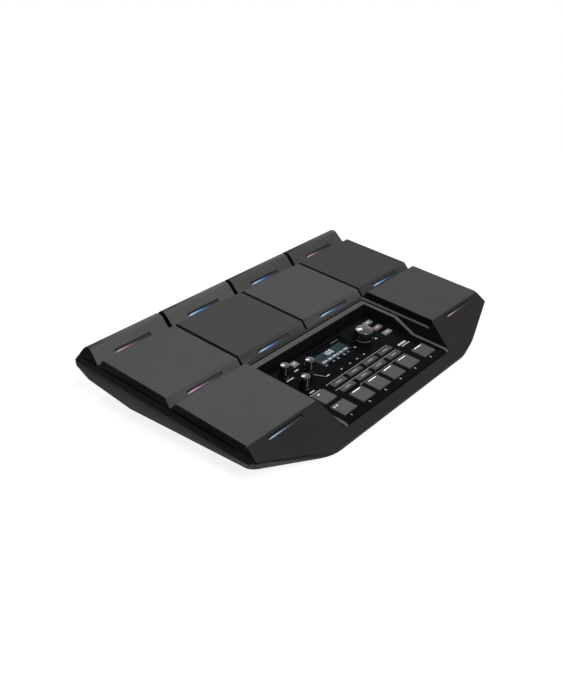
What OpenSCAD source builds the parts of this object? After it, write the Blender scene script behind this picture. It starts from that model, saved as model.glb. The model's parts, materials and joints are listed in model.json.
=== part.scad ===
// Sampling percussion pad: ten rubber pads on a sloping deck, a control panel let into its front.
// Millimetres, Z up, X to the player's right, Y to the rear, origin on the floor under the middle.

/* [Pads] */
// Distance between the middles of the slots that part the pads of a row
pad_pitch = 105; // [103:0.5:110]
// Width of the slot between two pads of a row
pad_slot = 3; // [2:0.5:4]
// How much the outer pads fall short of the pitch
end_trim = 4.6; // [3:0.2:6]
// Length of the flat top of a middle pad
mid_len = 88; // [84:1:96]
// Length of the flat top of a front pad
front_len = 88; // [86:1:96]
// Height of a pad's side
pad_h = 8; // [7.5:0.1:9]
// Thickness of the rubber over the hollow of a pad
pad_skin = 4; // [3:0.2:4.5]
// How far a struck pad gives way
pad_travel = 0.8; // [0.5:0.1:1]
// Room under a pad beyond its travel
pad_room = 0.2; // [0.2:0.1:0.5]
// Seam between a pad and what lies before or behind it
pad_seam = 0.8; // [0.5:0.1:1]
// Run of the slope at the front of a middle pad
front_slope = 7.2; // [6:0.2:9]
// Run of the slope at the rear of a front pad
rear_slope = 5; // [4:0.2:6]
// Run of the slope at the rear of a middle pad
mid_rear_slope = 5.2; // [4:0.2:7]
// Depth of a rear edge pad along the deck
bar_depth = 29; // [27:0.2:31]
// Run from the front foot of a rear edge pad to its ridge
bar_ridge_run = 18.2; // [16:0.2:20]
// Height of the sharp ridge of a rear edge pad over the flat pads
bar_ridge_h = 9.4; // [8:0.2:10]
// Radius that rounds the ridge
bar_round = 8; // [6:0.2:9]
// How much further the inner end of a rear edge pad stands back from its neighbour than a flat pad's
bar_trim = 1.2; // [0:0.2:2]
// Radius of a pad's guide post
post_r = 2.5; // [2:0.1:3]
// Clearance of a guide post in its hole
post_fit = 0.25; // [0.2:0.05:0.4]

/* [Lights] */
// Length of a light bar
light_len = 48; // [40:1:54]
// Thickness of a light bar
light_t = 1.4; // [1:0.1:1.8]
// Clearance of a light bar in its slot
light_fit = 0.4; // [0.3:0.05:0.5]
// Thickness of a lamp board
lamp_board_t = 1.6; // [1:0.2:1.8]

/* [Case] */
// Tilt of the playing surface towards the player, degrees
deck_tilt = 5.3; // [4.8:0.1:5.8]
// Thickness of the deck under the pads
deck_t = 3; // [2.5:0.1:3.4]
// Thickness of the case walls
wall = 3; // [2.5:0.1:3.5]
// Horizontal run of the front apron
apron_run = 39.6; // [38:0.2:42]
// Fall of the front apron
apron_drop = 32.1; // [31:0.1:33]
// Height of the front edge over the floor
front_edge_h = 10.3; // [9.8:0.1:12]
// Depth of the parting line below the tops of the pads
part_depth = 16.2; // [15.5:0.1:17]
// How far the sides flare out from the pads to the parting line
side_flare = 2.5; // [1:0.1:4]
// Reach of the rear nose behind the middle pads
nose_reach = 42.7; // [42:0.1:46]
// Height of the lower edge of the rear nose
nose_low_h = 40; // [39:0.5:42]
// How far the floor's sides stand inside the parting line
floor_inset = 16.3; // [14:0.1:20]
// How far the floor's front stands inside the front edge
floor_front_inset = 2.6; // [2:0.1:5]
// Half of the straight stretch of the front edge, to its corner
front_half = 126.5; // [120:0.5:135]
// Length of the rising rear stretch of the floor
ramp_len = 61; // [55:0.5:65]
// Rise of the floor at the middle of the rear
ramp_rise = 13; // [12:0.5:14]
// Rise of the floor at its rear corners
ramp_corner_rise = 17.5; // [15:0.5:19]
// Half width of the connector bay
bay_half = 152; // [148:1:160]
// Depth of the connector bay under the nose
bay_depth = 7; // [6:0.2:8]

/* [Control panel] */
// Depth of the panel below the tops of the pads
panel_depth = 20; // [19.5:0.1:20.5]
// Half width of the panel
panel_half = 92; // [91:0.2:92.6]
// Thickness of the panel plate
plate_t = 3; // [2.5:0.1:3.2]
// Distance of the recess from the middle of the pad slot beside it
ledge_side = 3.5; // [3:0.1:4]
// Width of the ledge behind the recess
ledge_rear = 1.8; // [1.6:0.2:3]
// Slope of the recess walls, run for each unit of fall
recess_draft = 0.4; // [0.35:0.01:0.42]
// Shadow gap round the bezel
bezel_gap = 1; // [0.6:0.1:1.2]
// Length of the high part of the bezel's sides
bezel_high = 49.2; // [44:0.2:52]
// Run of the slope in the bezel's sides
bezel_slope = 28.5; // [24:0.5:32]
// Slope of the bezel's inner walls
bezel_draft = 0.32; // [0.25:0.01:0.36]
// Clear height of the panel board below the plate
board_drop = 6.5; // [6.3:0.1:7]
// Thickness of the circuit boards
board_t = 1.6; // [1.2:0.2:1.8]

/* [Buttons and knobs] */
// Pitch of the four inner button columns
column_pitch = 28.1; // [27.5:0.1:29]
// Place of the outer button columns, from the middle
outer_column = 73.7; // [72.5:0.1:75]
// Width of a large button
big_w = 21.4; // [20:0.2:22]
// Depth of a large button
big_d = 18.2; // [17:0.2:19]
// Width of a row button
row_w = 22.4; // [20:0.2:23]
// Depth of a row button
row_d = 6.2; // [5.6:0.1:6.6]
// How far the buttons stand out of the panel
button_proud = 1.5; // [1:0.1:2]
// Travel of the buttons
button_travel = 0.6; // [0.4:0.1:0.8]
// Clearance of a button in its hole, each side
button_fit = 0.25; // [0.2:0.05:0.35]
// Place of the knobs beside the display, from the middle
knob_inner = 49.9; // [48:0.1:52]
// Place of the dial, from the middle
dial_x = 45; // [44:0.1:46]
// Place of the outer knobs, from the middle
knob_outer = 76.6; // [75:0.1:78]
// Radius of a small knob
knob_r = 5.6; // [5:0.1:6]
// Height of a small knob
knob_h = 16.4; // [14:0.2:17]
// Radius of the dial
dial_r = 11; // [10:0.1:11.6]
// Height of the dial
dial_h = 15; // [13:0.2:16]
// Radius of the knob shafts
shaft_r = 3; // [2.5:0.1:3.2]
// Clearance of a shaft in its bearing
shaft_fit = 0.05; // [0.02:0.01:0.08]
// Width of the display window
window_w = 64; // [60:0.5:66]
// Depth of the display window
window_d = 29; // [26:0.5:30]
// Thickness of the display window
window_t = 1.5; // [1:0.1:1.8]
// Width of the lit part of the display
screen_w = 50.5; // [48:0.5:54]
// Depth of the lit part of the display
screen_d = 17; // [15:0.5:18]

/* [Connectors and fixings] */
// Radius of a jack's bore, for a 6.35 mm plug
jack_r = 3.2; // [3.18:0.01:3.3]
// Radius of a jack's threaded bush
bush_r = 4.7; // [4.4:0.1:5]
// Distance between neighbouring jacks
jack_pitch = 25; // [22:0.5:27]
// Height of the feet
foot_h = 4; // [3:0.1:5]
// Radius of the feet
foot_r = 9; // [7:0.5:10]
// Bore radius of the threaded inserts, the core of an M5 thread
insert_bore_r = 2.1; // [2:0.05:2.2]
// Outer radius of the threaded inserts
insert_r = 3.5; // [3.2:0.1:4]
// Length of the threaded inserts
insert_len = 8; // [7:0.5:9]
// Distance between the inserts across the body
insert_dx = 100; // [90:1:106]
// Distance between the inserts along the body
insert_dy = 50; // [44:1:54]

/* [Hidden] */
$fn = 48;
// Size past every piece, overlap of joined solids, and how far a cut runs past the face it opens
big = 600;
touch = 0.02;
past = 1;

// Levels and stations in the deck's own frame, whose origin is the rear top edge of the middle pads
deck_len = mid_len + front_slope + rear_slope + pad_seam - touch + front_len;
front_pad_rear = -(mid_len + front_slope + rear_slope + pad_seam - touch);
deck_w = -(pad_h + pad_travel + pad_room);
deck_under = deck_w - deck_t;
bar_front = mid_rear_slope + pad_seam;
bar_rear = bar_front + bar_depth;
deck_half = 2 * pad_pitch - end_trim;
part_half = deck_half + side_flare;
apron_angle = atan(apron_drop / apron_run);
apron_slope = tan(apron_angle - deck_tilt);
apron_t = wall;

// Places in the body's frame
body_depth = nose_reach + deck_len * cos(deck_tilt) + apron_run;
rear_y = body_depth / 2;
front_y = -rear_y;
deck_y0 = rear_y - nose_reach;
deck_z0 = front_edge_h + apron_drop + deck_len * sin(deck_tilt);
apron_top_y = front_y + apron_run;
shoulder_run = 12.8;
shoulder_y = apron_top_y - shoulder_run;
floor_half = part_half - floor_inset;
floor_side_back = 8.5;
floor_side_y = apron_top_y + floor_side_back;
floor_corner_inset = 1;
floor_corner_x = front_half - floor_corner_inset;
floor_front_y = front_y + floor_front_inset;
ramp_y = rear_y - ramp_len;
bay_y = rear_y - bay_depth;
bay_lip = 0.5;
bay_top = nose_low_h - bay_lip;
part_gap = 0.2;
rear_shoulder_run = 5.4;
nose_side_inset = 1;
ramp_corner_flare = 7;
side_corner_run = 6;

// The panel, its recess and its board
panel_w = -panel_depth;
plate_under = panel_w - plate_t;
panel_lip = 1.5;
bezel_floor_t = 1;
seat_w = plate_under - bezel_floor_t;
ring_t = 2;
ring_under = seat_w - ring_t;
board_top = plate_under - board_drop;
board_under = board_top - board_t;
recess_rear = -(mid_len + front_slope + ledge_rear);
recess_wall = 2.4;
panel_rear_run = 11.4;
panel_rear = recess_rear - panel_rear_run;
bezel_sink = 0.6;
bezel_top = deck_w - bezel_sink;
bezel_lip = 0.8;
bezel_low = panel_w + bezel_lip;
bezel_kink = recess_back(bezel_top) - bezel_gap - bezel_high;
seat_fit = 0.15;

// Places of the controls on the panel, from a line set back from its front edge
panel_setback = 1.6;
big_s = 16.2;
row_s = [34.2, 45.6];
corner_s = 40.2;
screen_x = -1.6;
screen_s = 85;
window_s = 86.4;
outer_knob_s = [63, 90.3];
inner_knob_s = 78.8;
square_s = 98;
dial_s = 76.6;
side_s = [66, 79.4, 92.8];
square_size = [9, 8];
side_size = [13.6, 6.2];
corner_size = [19.4, 18.2];

function panel_v(s) = apron_v(panel_w) + panel_setback + s;
inner_columns = [for (k = [-1.5:1:1.5]) k * column_pitch];
front_columns = concat([-outer_column], inner_columns, [outer_column]);
// Every button: place across, place along the deck, width, depth
front_buttons = [for (x = front_columns) [x, panel_v(big_s), big_w, big_d]];
row_buttons = [for (s = row_s) for (x = inner_columns) [x, panel_v(s), row_w, row_d]];
corner_button_at = [-outer_column, panel_v(corner_s), corner_size.x, corner_size.y];
square_button_at = [-knob_inner, panel_v(square_s), square_size.x, square_size.y];
side_buttons = [for (s = side_s) [knob_outer, panel_v(s), side_size.x, side_size.y]];
all_buttons = concat(front_buttons, row_buttons, [corner_button_at, square_button_at], side_buttons);
// Small knobs and the dial: place across and along the deck
knobs_at = [[-knob_outer, panel_v(outer_knob_s[0])], [-knob_outer, panel_v(outer_knob_s[1])],
            [-knob_inner, panel_v(inner_knob_s)]];
dial_at = [dial_x, panel_v(dial_s)];
window_at = [0, panel_v(window_s)];
screen_at = [screen_x, panel_v(screen_s)];
button_flange = 1;
button_seat = 0.15;
flange_t = 1.3;
shaft_hole = 0.6;
knob_lift = 0.5;

// Opening in the seat under the panel, clear of the flanges of the outermost buttons, and the seat round it
opening_room = 0.6;
seat_rim = 1.8;
rear_seat_rim = 4;
opening_half = outer_column + big_w / 2 + button_flange + opening_room;
opening_front = panel_v(big_s) - big_d / 2 - button_flange - opening_room;
opening_rear = panel_rear - rear_seat_rim;
pocket_front = opening_front - seat_rim;

// Fixings and boards
boss_r = 4.5;
boss_floor_h = 10;
boss_split = foot_h + boss_floor_h;
boss_sink = 2;
side_screw_inset = 21.6;
side_screws_y = [-60, 34];
inner_screw_at = [60, 10];
case_screws_at = concat([for (s = [-1, 1]) for (y = side_screws_y) [s * (floor_half - side_screw_inset), y]],
                        [for (s = [-1, 1]) [s * inner_screw_at.x, inner_screw_at.y]]);
screw_r = 1.7;
screw_head_r = 3.2;
screw_head_h = 2.4;
screw_fit = 0.1;
screw_len = 24;
insert_wall = 2;
insert_boss_r = insert_r + insert_wall;
inserts_y = -5;
inserts_at = [for (x = [-0.5, 0.5]) for (y = [-0.5, 0.5]) [x * insert_dx, inserts_y + y * insert_dy]];
front_foot_inset = [7.5, 28.5];
rear_foot_inset = [26.6, 16.2];
feet_at = [for (s = [-1, 1]) each [
    [s * (floor_corner_x - front_foot_inset.x), floor_front_y + front_foot_inset.y],
    [s * (floor_half - rear_foot_inset.x), ramp_y - rear_foot_inset.y]]];
foot_sink = 1;
main_lift = 18;
main_z = foot_h + main_lift;
main_top = main_z + board_t;
main_side_room = 5;
main_half = bay_half - main_side_room;
main_depth = 93;
bay_wall_in = bay_y - wall;
main_rear_room = 0.2;
main_rear = bay_wall_in - main_rear_room;
main_front = main_rear - main_depth;
standoff_r = 3.6;
jack_len = 24;
jacks_front = bay_wall_in - jack_len;
main_screw_inset = [17, 12];
main_screws_at = [for (x = [-1, 0, 1]) for (y = [main_front + main_screw_inset.y, jacks_front - standoff_r])
    [x * (main_half - main_screw_inset.x), y]];
board_screw_r = 1.3;
board_screw_head_r = 2.6;
board_screw_head_h = 1.8;
board_screw_len = 8;
panel_screw_inset = 10;
panel_screw_side = 5;
panel_standoff_r = 2.6;
panel_screw_skin = 0.6;
panel_screw_top = seat_w - panel_screw_skin;
panel_screws_v = [pocket_front + panel_screw_inset, (pocket_front + panel_rear) / 2,
                  panel_rear - panel_screw_inset];
panel_screws_at = [for (s = [-1, 1]) for (v = panel_screws_v) [s * (opening_half + panel_screw_side), v]];
panel_board_rim = 8;
panel_board_inset = 1;

// Connectors on the rear wall
jack_h = 12.4;
jack_w = 15;
jack_end = 3;
jack_z = main_top + jack_h / 2;
jacks_shift = -10;
jacks_x = [for (k = [-3:2]) k * jack_pitch + jacks_shift];
bush_proud = 0.6;
nut_r = 6.6;
nut_t = 2.2;
nut_clear = 0.1;
bush_fit = 0.2;
usb_gap = 38;
usb_x = jacks_x[5] + usb_gap;
usb_size = [12, 16, 11];
usb_opening = [8.6, 8];
usb_depth = 9;
socket_pitch = 26;
switch_x = usb_x + socket_pitch;
switch_size = [12, 12, 9];
inlet_x = switch_x + socket_pitch;
inlet_size = [10, 14, 11];
inlet_r = 3.1;
inlet_depth = 10;
inlet_pin_r = 1;
inlet_pin_back = 1;
inlet_z = main_top + inlet_size.z / 2;
power_cap = [9, 6];
power_travel = 2;
power_proud = 4;
power_flange_t = 2.4;
power_press_room = 0.4;
power_z = main_top + switch_size.z / 2;
power_back = bay_wall_in - button_seat - power_flange_t;
socket_fit = 0.2;

// Points of the deck's frame in the body's frame
function deck_y(v, w) = deck_y0 + v * cos(deck_tilt) - w * sin(deck_tilt);
function deck_z(v, w) = deck_z0 + v * sin(deck_tilt) + w * cos(deck_tilt);
function deck_at(x, v, w) = [x, deck_y(v, w), deck_z(v, w)];
// Station of the apron's face at a level w, and its level at a station v
function apron_v(w) = -deck_len + w / apron_slope;
function apron_w(v) = (deck_len + v) * apron_slope;
// Height of the apron's face, or of a face at a depth below it
function apron_z(y, depth) =
    front_edge_h + (y - front_y) * apron_drop / apron_run - depth / cos(apron_angle);
// Half width of the flared sides at a depth w
function half_at(w) = deck_half - w * side_flare / part_depth;
function recess_half(w) = pad_pitch - ledge_side + (w - deck_w) * recess_draft;
function recess_back(w) = recess_rear + (w - deck_w) * recess_draft;
function bezel_half(w) = panel_half + (w - panel_w) * bezel_draft;
function bezel_back(w) = panel_rear + (w - panel_w) * bezel_draft;
// Left and right ends of the pad in a column, 0 to 3, past the sides at the outer ends
function pad_left(column) = column == 0 ? -big / 2 : (column - 2) * pad_pitch + pad_slot / 2;
function pad_right(column) = column == 3 ? big / 2 : (column - 1) * pad_pitch - pad_slot / 2;
function pad_mid(column) =
    (max(pad_left(column), -deck_half) + min(pad_right(column), deck_half)) / 2;

function unit(a) = a / norm(a);
// Points of the arc of radius r that rounds the corner b between a and c
function fillet(a, b, c, r, steps) =
    let (u = unit(a - b), v = unit(c - b), half = acos(u * v) / 2,
         centre = b + unit(u + v) * r / sin(half),
         first = b + u * r / tan(half) - centre, last = b + v * r / tan(half) - centre,
         start = atan2(first.y, first.x), turn = atan2(cross(first, last), first * last))
    [for (k = [0:steps]) centre + r * [cos(start + turn * k / steps), sin(start + turn * k / steps)]];

// Outline of the case, or of its hollow at a depth inside: corner points for its convex shape
front_r = 146;
floor_front_r = 40;
floor_side_r = 14;
function apron_edge(depth) =
    let (shoulder = [part_half - depth, shoulder_y + depth], corner = [front_half - depth, front_y + depth],
         middle = [0, front_y + depth])
    [for (p = concat([shoulder], fillet(shoulder, corner, middle, front_r, 6)))
        [p.x, p.y, apron_z(p.y, depth)]];
function floor_edge(depth) =
    let (rear = [floor_half - depth, ramp_y], side = [floor_half - depth, floor_side_y + depth],
         corner = [floor_corner_x - depth, floor_front_y + depth], middle = [0, floor_front_y + depth])
    [for (p = concat([rear], fillet(rear, side, corner, floor_side_r, 4),
                     fillet(side, corner, middle, floor_front_r, 4)))
        [p.x, p.y, foot_h + depth]];
function rear_edge(depth) = [
    deck_at(half_at(deck_w) - depth, bar_rear + pad_seam - depth, deck_w),
    deck_at(part_half - depth, bar_rear + rear_shoulder_run - depth, -part_depth),
    [part_half - nose_side_inset - depth, rear_y - depth, nose_low_h],
    [floor_half + ramp_corner_flare - depth, bay_y - depth, foot_h + ramp_corner_rise + depth],
    [bay_half + 2 * wall - depth, bay_y - depth, foot_h + ramp_rise + depth]];
function side_edge(depth) = [
    deck_at(deck_half - depth, -deck_len, -depth / cos(apron_angle - deck_tilt)),
    deck_at(part_half - depth, -deck_len - side_corner_run, -part_depth)];
function both_sides(points) = concat(points, [for (p = points) [-p.x, p.y, p.z]]);
function case_points(depth) =
    both_sides(concat(apron_edge(depth), floor_edge(depth), rear_edge(depth), side_edge(depth)));

module case_shape(depth) {
    points = case_points(depth);
    hull() polyhedron(points = points, faces = [[for (k = [0:len(points) - 1]) k]]);
}

// Helpers: the deck's frame, extrusions along X and Y, a block between limits
module on_deck() translate([0, deck_y0, deck_z0]) rotate([deck_tilt, 0, 0]) children();
module along_x(x0, x1) translate([x0, 0, 0]) rotate([90, 0, 90]) linear_extrude(x1 - x0) children();
module along_y(y0, y1) translate([0, y1, 0]) rotate([90, 0, 0]) linear_extrude(y1 - y0) children();
module block(x0, x1, y0, y1, z0, z1) translate([x0, y0, z0]) cube([x1 - x0, y1 - y0, z1 - z0]);
module tile(at, size, z0, z1)
    block(at.x - size.x / 2, at.x + size.x / 2, at.y - size.y / 2, at.y + size.y / 2, z0, z1);
module rod(at, r, z0, z1) translate([at.x, at.y, z0]) cylinder(r = r, h = z1 - z0);
// Rod along Y, for what passes the rear wall
module bar_y(x, z, r, y0, y1) translate([x, y1, z]) rotate([90, 0, 0]) cylinder(r = r, h = y1 - y0);
// The wedge between the flared sides, from low to high in the deck's frame
module between_sides(low, high) along_y(-big, big)
    polygon([[-half_at(low), low], [half_at(low), low], [half_at(high), high], [-half_at(high), high]]);

// Space above the parting faces: over the parting plane, or over the underside of the apron
module upper_space(lift) {
    on_deck() block(-big, big, -big, big, lift - part_depth, big);
    translate([0, front_y, front_edge_h]) rotate([apron_angle, 0, 0])
        block(-big, big, -big, big, lift - apron_t, big);
}

// Tapered room of the recess, from a floor level up to a top level and back from a front station
module recess_room(grow, floor_w, top_w, front_v) intersection() {
    along_y(front_v, big)
        polygon([[-recess_half(floor_w) - grow, floor_w], [recess_half(floor_w) + grow, floor_w],
                 [recess_half(top_w) + grow, top_w], [-recess_half(top_w) - grow, top_w]]);
    along_x(-big, big)
        polygon([[-big, floor_w], [recess_back(floor_w) + grow, floor_w],
                 [recess_back(top_w) + grow, top_w], [-big, top_w]]);
}

// Places of a pad's guide posts, in its column and about its middle station
post_dx = 38;
post_dv = 30;
post_seat = 0.15;
post_head = 1;
post_head_t = 1.6;
bar_post_v = bar_front + bar_ridge_run;
mid_pad_v = -mid_len / 2;
front_pad_v = front_pad_rear - front_len / 2;
function flat_posts(column, v) =
    [for (dx = [-1, 1]) for (dv = [-1, 1]) [pad_mid(column) + dx * post_dx, v + dv * post_dv]];
function bar_posts(column) = [for (dx = [-1, 1]) [pad_mid(column) + dx * post_dx, bar_post_v]];
flat_columns = [0, 1, 2, 3];
front_columns_used = [0, 3];
all_posts = concat([for (c = flat_columns) each bar_posts(c)],
                   [for (c = flat_columns) each flat_posts(c, mid_pad_v)],
                   [for (c = front_columns_used) each flat_posts(c, front_pad_v)]);

// Light bars: levels of the slots in the slopes and places of the lamp boards
slope_light = -5.6;
bar_light = -5.6;
light_top_room = pad_travel + light_fit;
light_inset = 0.4;
lamp_top = deck_w + lamp_board_t;
mid_light_reach = 6.5;
mid_light_leg = -mid_len + mid_light_reach;
bar_light_reach = 12;
bar_light_leg = bar_front + bar_light_reach;
apron_light_drop = 4;
apron_light_fit = 0.1;
apron_light_v = -deck_len - apron_light_drop;
apron_light_under = deck_under - light_t;
lamp_board_d = 8;
lamp_board_rim = 2;
bar_lamp_board_d = 4.4;
sensor_t = 0.4;
sensor_w = 60;
sensor_d = 48;
bar_sensor_d = 5;
bar_sensor_back = 7;
bar_sensor_v = bar_rear - bar_sensor_back;
presser_w = 20;
presser_d = 24;
bar_presser_d = 3;
presser_low = deck_w + sensor_t + pad_travel + pad_room;

// A pad: its outline extruded over its column, hollow below, with guide posts and a presser over its sensor
module pad(column, outline, hollow, posts, presser_v, presser_len, ceiling, trim = 0) {
    x0 = pad_left(column) + trim;
    x1 = pad_right(column) - trim;
    inner_x0 = max(x0, -deck_half) + pad_skin;
    inner_x1 = min(x1, deck_half) - pad_skin;
    on_deck() {
        intersection() {
            difference() {
                along_x(x0, x1) polygon(outline);
                along_x(inner_x0, inner_x1) polygon(hollow);
                children();
            }
            between_sides(-big / 4, bar_ridge_h * 2);
        }
        for (p = posts) {
            rod(p, post_r, deck_under - post_seat - touch, ceiling + touch);
            rod(p, post_r + post_head, deck_under - post_seat - post_head_t, deck_under - post_seat);
        }
        tile([pad_mid(column), presser_v], [presser_w, presser_len], presser_low, ceiling + touch);
    }
}

mid_outline = [[-mid_len - front_slope, -pad_h], [-mid_len, 0], [0, 0], [mid_rear_slope, -pad_h]];
mid_hollow = [[-mid_len + pad_skin, -big], [-mid_len + pad_skin, -pad_skin], [-pad_skin, -pad_skin],
              [-pad_skin, -big]];
front_outline = [[-deck_len, -pad_h], [-deck_len, 0], [front_pad_rear, 0],
                 [front_pad_rear + rear_slope, -pad_h]];
front_hollow = [[-deck_len + pad_skin, -big], [-deck_len + pad_skin, -pad_skin],
                [front_pad_rear - pad_skin, -pad_skin], [front_pad_rear - pad_skin, -big]];
bar_ridge = [bar_front + bar_ridge_run, bar_ridge_h];
bar_outline = concat([[bar_front, -pad_h]],
                     fillet([bar_front, -pad_h], bar_ridge, [bar_rear, -pad_h], bar_round, 16),
                     [[bar_rear, -pad_h]]);
bar_ceiling = -1;
bar_front_skin = 5.6;
bar_back_run = 8;
bar_slope = (bar_ridge_h + pad_h) / bar_ridge_run;
function bar_face(w) = bar_front + (w + pad_h) / bar_slope;
bar_hollow = [[bar_face(-pad_h) + bar_front_skin, -big], [bar_face(-pad_h) + bar_front_skin, -pad_h],
              [bar_face(bar_ceiling) + bar_front_skin, bar_ceiling], [bar_rear - bar_back_run, bar_ceiling],
              [bar_rear - pad_skin, -pad_h], [bar_rear - pad_skin, -big]];

// Slot that lets a light bar through the front of a pad; the room over the bar stays dark
module light_slot(column, level, v0, v1)
    block(pad_mid(column) - light_len / 2 - light_fit, pad_mid(column) + light_len / 2 + light_fit, v0, v1,
          level - light_fit, level + light_t + light_top_room);

module rear_pad(column) color("#4a4a4a")
    pad(column, bar_outline, bar_hollow, bar_posts(column), bar_sensor_v, bar_presser_d, bar_ceiling,
        bar_trim)
        light_slot(column, bar_light, bar_front - past, bar_light_leg);
module mid_pad(column) color("#4c4c4c")
    pad(column, mid_outline, mid_hollow, flat_posts(column, mid_pad_v), mid_pad_v, presser_d, -pad_skin)
        light_slot(column, slope_light, -mid_len - front_slope - past, mid_light_leg);
module front_pad(column) color("#4c4c4c")
    pad(column, front_outline, front_hollow, flat_posts(column, front_pad_v), front_pad_v, presser_d,
        -pad_skin);

// Light bars: a tongue through the slot and a leg down to the lamp board
module light_bars() color("#3f8fe0") on_deck() {
    for (c = flat_columns) {
        x0 = pad_mid(c) - light_len / 2;
        x1 = pad_mid(c) + light_len / 2;
        mid_face = -mid_len + front_slope / pad_h * slope_light + light_inset;
        mid_face_top = -mid_len + front_slope / pad_h * (slope_light + light_t) + light_inset;
        along_x(x0, x1)
            polygon([[mid_face, slope_light], [mid_light_leg - light_t, slope_light],
                     [mid_light_leg - light_t, lamp_top], [mid_light_leg, lamp_top],
                     [mid_light_leg, slope_light + light_t], [mid_face_top, slope_light + light_t]]);
        along_x(x0, x1)
            polygon([[bar_face(bar_light) + light_inset, bar_light], [bar_light_leg, bar_light],
                     [bar_light_leg, lamp_top], [bar_light_leg + light_t, lamp_top],
                     [bar_light_leg + light_t, bar_light + light_t],
                     [bar_face(bar_light + light_t) + light_inset, bar_light + light_t]]);
    }
    for (c = front_columns_used)
        along_x(pad_mid(c) - light_len / 2, pad_mid(c) + light_len / 2)
            polygon([[apron_light_v - light_t, apron_light_under],
                     [apron_light_v - light_t, apron_w(apron_light_v - light_t) - light_inset],
                     [apron_light_v, apron_w(apron_light_v) - light_inset],
                     [apron_light_v, deck_under], [apron_light_v + lamp_board_d, deck_under],
                     [apron_light_v + lamp_board_d, apron_light_under]]);
}

module light_boards() color("#1f4d2f") on_deck() {
    for (c = flat_columns) {
        x0 = pad_mid(c) - light_len / 2 - lamp_board_rim;
        x1 = pad_mid(c) + light_len / 2 + lamp_board_rim;
        block(x0, x1, mid_light_leg - light_t, mid_light_leg - light_t + lamp_board_d, deck_w, lamp_top);
        block(x0, x1, bar_light_leg, bar_light_leg + bar_lamp_board_d, deck_w, lamp_top);
    }
    for (c = front_columns_used)
        block(pad_mid(c) - light_len / 2 - lamp_board_rim, pad_mid(c) + light_len / 2 + lamp_board_rim,
              apron_light_v - light_t, apron_light_v + lamp_board_d, apron_light_under - lamp_board_t,
              apron_light_under);
}

module pad_sensors() color("#b8a060") on_deck() {
    for (c = flat_columns) {
        tile([pad_mid(c), mid_pad_v], [sensor_w, sensor_d], deck_w, deck_w + sensor_t);
        tile([pad_mid(c), bar_sensor_v], [sensor_w, bar_sensor_d], deck_w, deck_w + sensor_t);
    }
    for (c = front_columns_used)
        tile([pad_mid(c), front_pad_v], [sensor_w, sensor_d], deck_w, deck_w + sensor_t);
}

// Case
module top_case() color("#303032") difference() {
    intersection() {
        union() {
            difference() {
                case_shape(0);
                intersection() {
                    case_shape(wall);
                    on_deck() block(-big, big, -big, big, -big, deck_under);
                }
            }
            on_deck() recess_room(recess_wall, ring_under, deck_w, pocket_front - recess_wall);
            for (p = case_screws_at)
                rod(p, boss_r, boss_split, deck_z(p.y - deck_y0, deck_under) + boss_sink);
            on_deck() for (p = panel_screws_at) rod(p, panel_standoff_r, board_top, ring_under + touch);
        }
        upper_case_space();
        case_shape(0);
    }
    on_deck() {
        block(-big, big, -deck_len - pad_seam, big, deck_w, big);
        recess_room(0, panel_w - panel_lip, past, -big / 2);
        recess_room(0, seat_w, deck_w, pocket_front);
        block(-opening_half, opening_half, opening_front, opening_rear, board_top, seat_w + touch);
        for (p = all_posts) rod(p, post_r + post_fit, deck_under - past, deck_w + past);
        for (c = front_columns_used)
            block(pad_mid(c) - light_len / 2 - light_fit, pad_mid(c) + light_len / 2 + light_fit,
                  apron_light_v - light_t - apron_light_fit, apron_light_v + light_t, deck_under - past, big);
        for (p = panel_screws_at) rod(p, board_screw_r + screw_fit, board_top - past, panel_screw_top);
    }
    for (p = case_screws_at) rod(p, screw_r + screw_fit, 0, foot_h + screw_head_h + screw_len + boss_sink);
}
// The upper case keeps what lies over the parting faces, and its own bosses, recess and standoffs below them
module upper_case_space() {
    upper_space(0);
    on_deck() recess_room(recess_wall, board_top, deck_w, pocket_front - recess_wall);
    for (p = case_screws_at) rod(p, boss_r + touch, boss_split, deck_z0);
}

module bottom_case() color("#222224") difference() {
    union() {
        difference() {
            case_shape(0);
            difference() {
                case_shape(wall);
                bay(wall);
            }
            bay(0);
            upper_space(-part_gap);
        }
        for (p = case_screws_at) rod(p, boss_r, foot_h + touch, boss_split);
        for (p = inserts_at) rod(p, insert_boss_r, foot_h + touch, foot_h + insert_len);
        intersection() {
            for (p = main_screws_at) rod(p, standoff_r, foot_h, main_z);
            case_shape(wall / 2);
        }
    }
    for (p = case_screws_at) {
        rod(p, screw_r + screw_fit, 0, boss_split + past);
        rod(p, screw_head_r + screw_fit, 0, foot_h + screw_head_h);
    }
    for (p = inserts_at) rod(p, insert_r, foot_h - past, foot_h + insert_len + past);
    for (p = feet_at) rod(p, foot_r, 0, foot_h + foot_sink);
    for (p = main_screws_at) rod(p, board_screw_r + screw_fit, main_z - board_screw_len, main_z + past);
    for (x = jacks_x) bar_y(x, jack_z, bush_r + bush_fit, bay_wall_in - past, bay_y + past);
    socket_hole(usb_x, usb_size.x, usb_size.z);
    socket_hole(inlet_x, inlet_size.x, inlet_size.z);
    power_hole();
}
// The bay under the nose where the connectors sit; grown by the wall it bounds the hollow
module bay(grow) block(-bay_half - grow, bay_half + grow, bay_y - grow, big, -big, bay_top + grow);
module socket_hole(x, width, height)
    block(x - width / 2 - socket_fit, x + width / 2 + socket_fit, bay_wall_in - past, bay_y + past,
          main_top - socket_fit, main_top + height + socket_fit);
module power_hole()
    block(switch_x - power_cap.x / 2 - button_fit, switch_x + power_cap.x / 2 + button_fit, bay_wall_in - past,
          bay_y + past, power_z - power_cap.y / 2 - button_fit, power_z + power_cap.y / 2 + button_fit);

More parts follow.
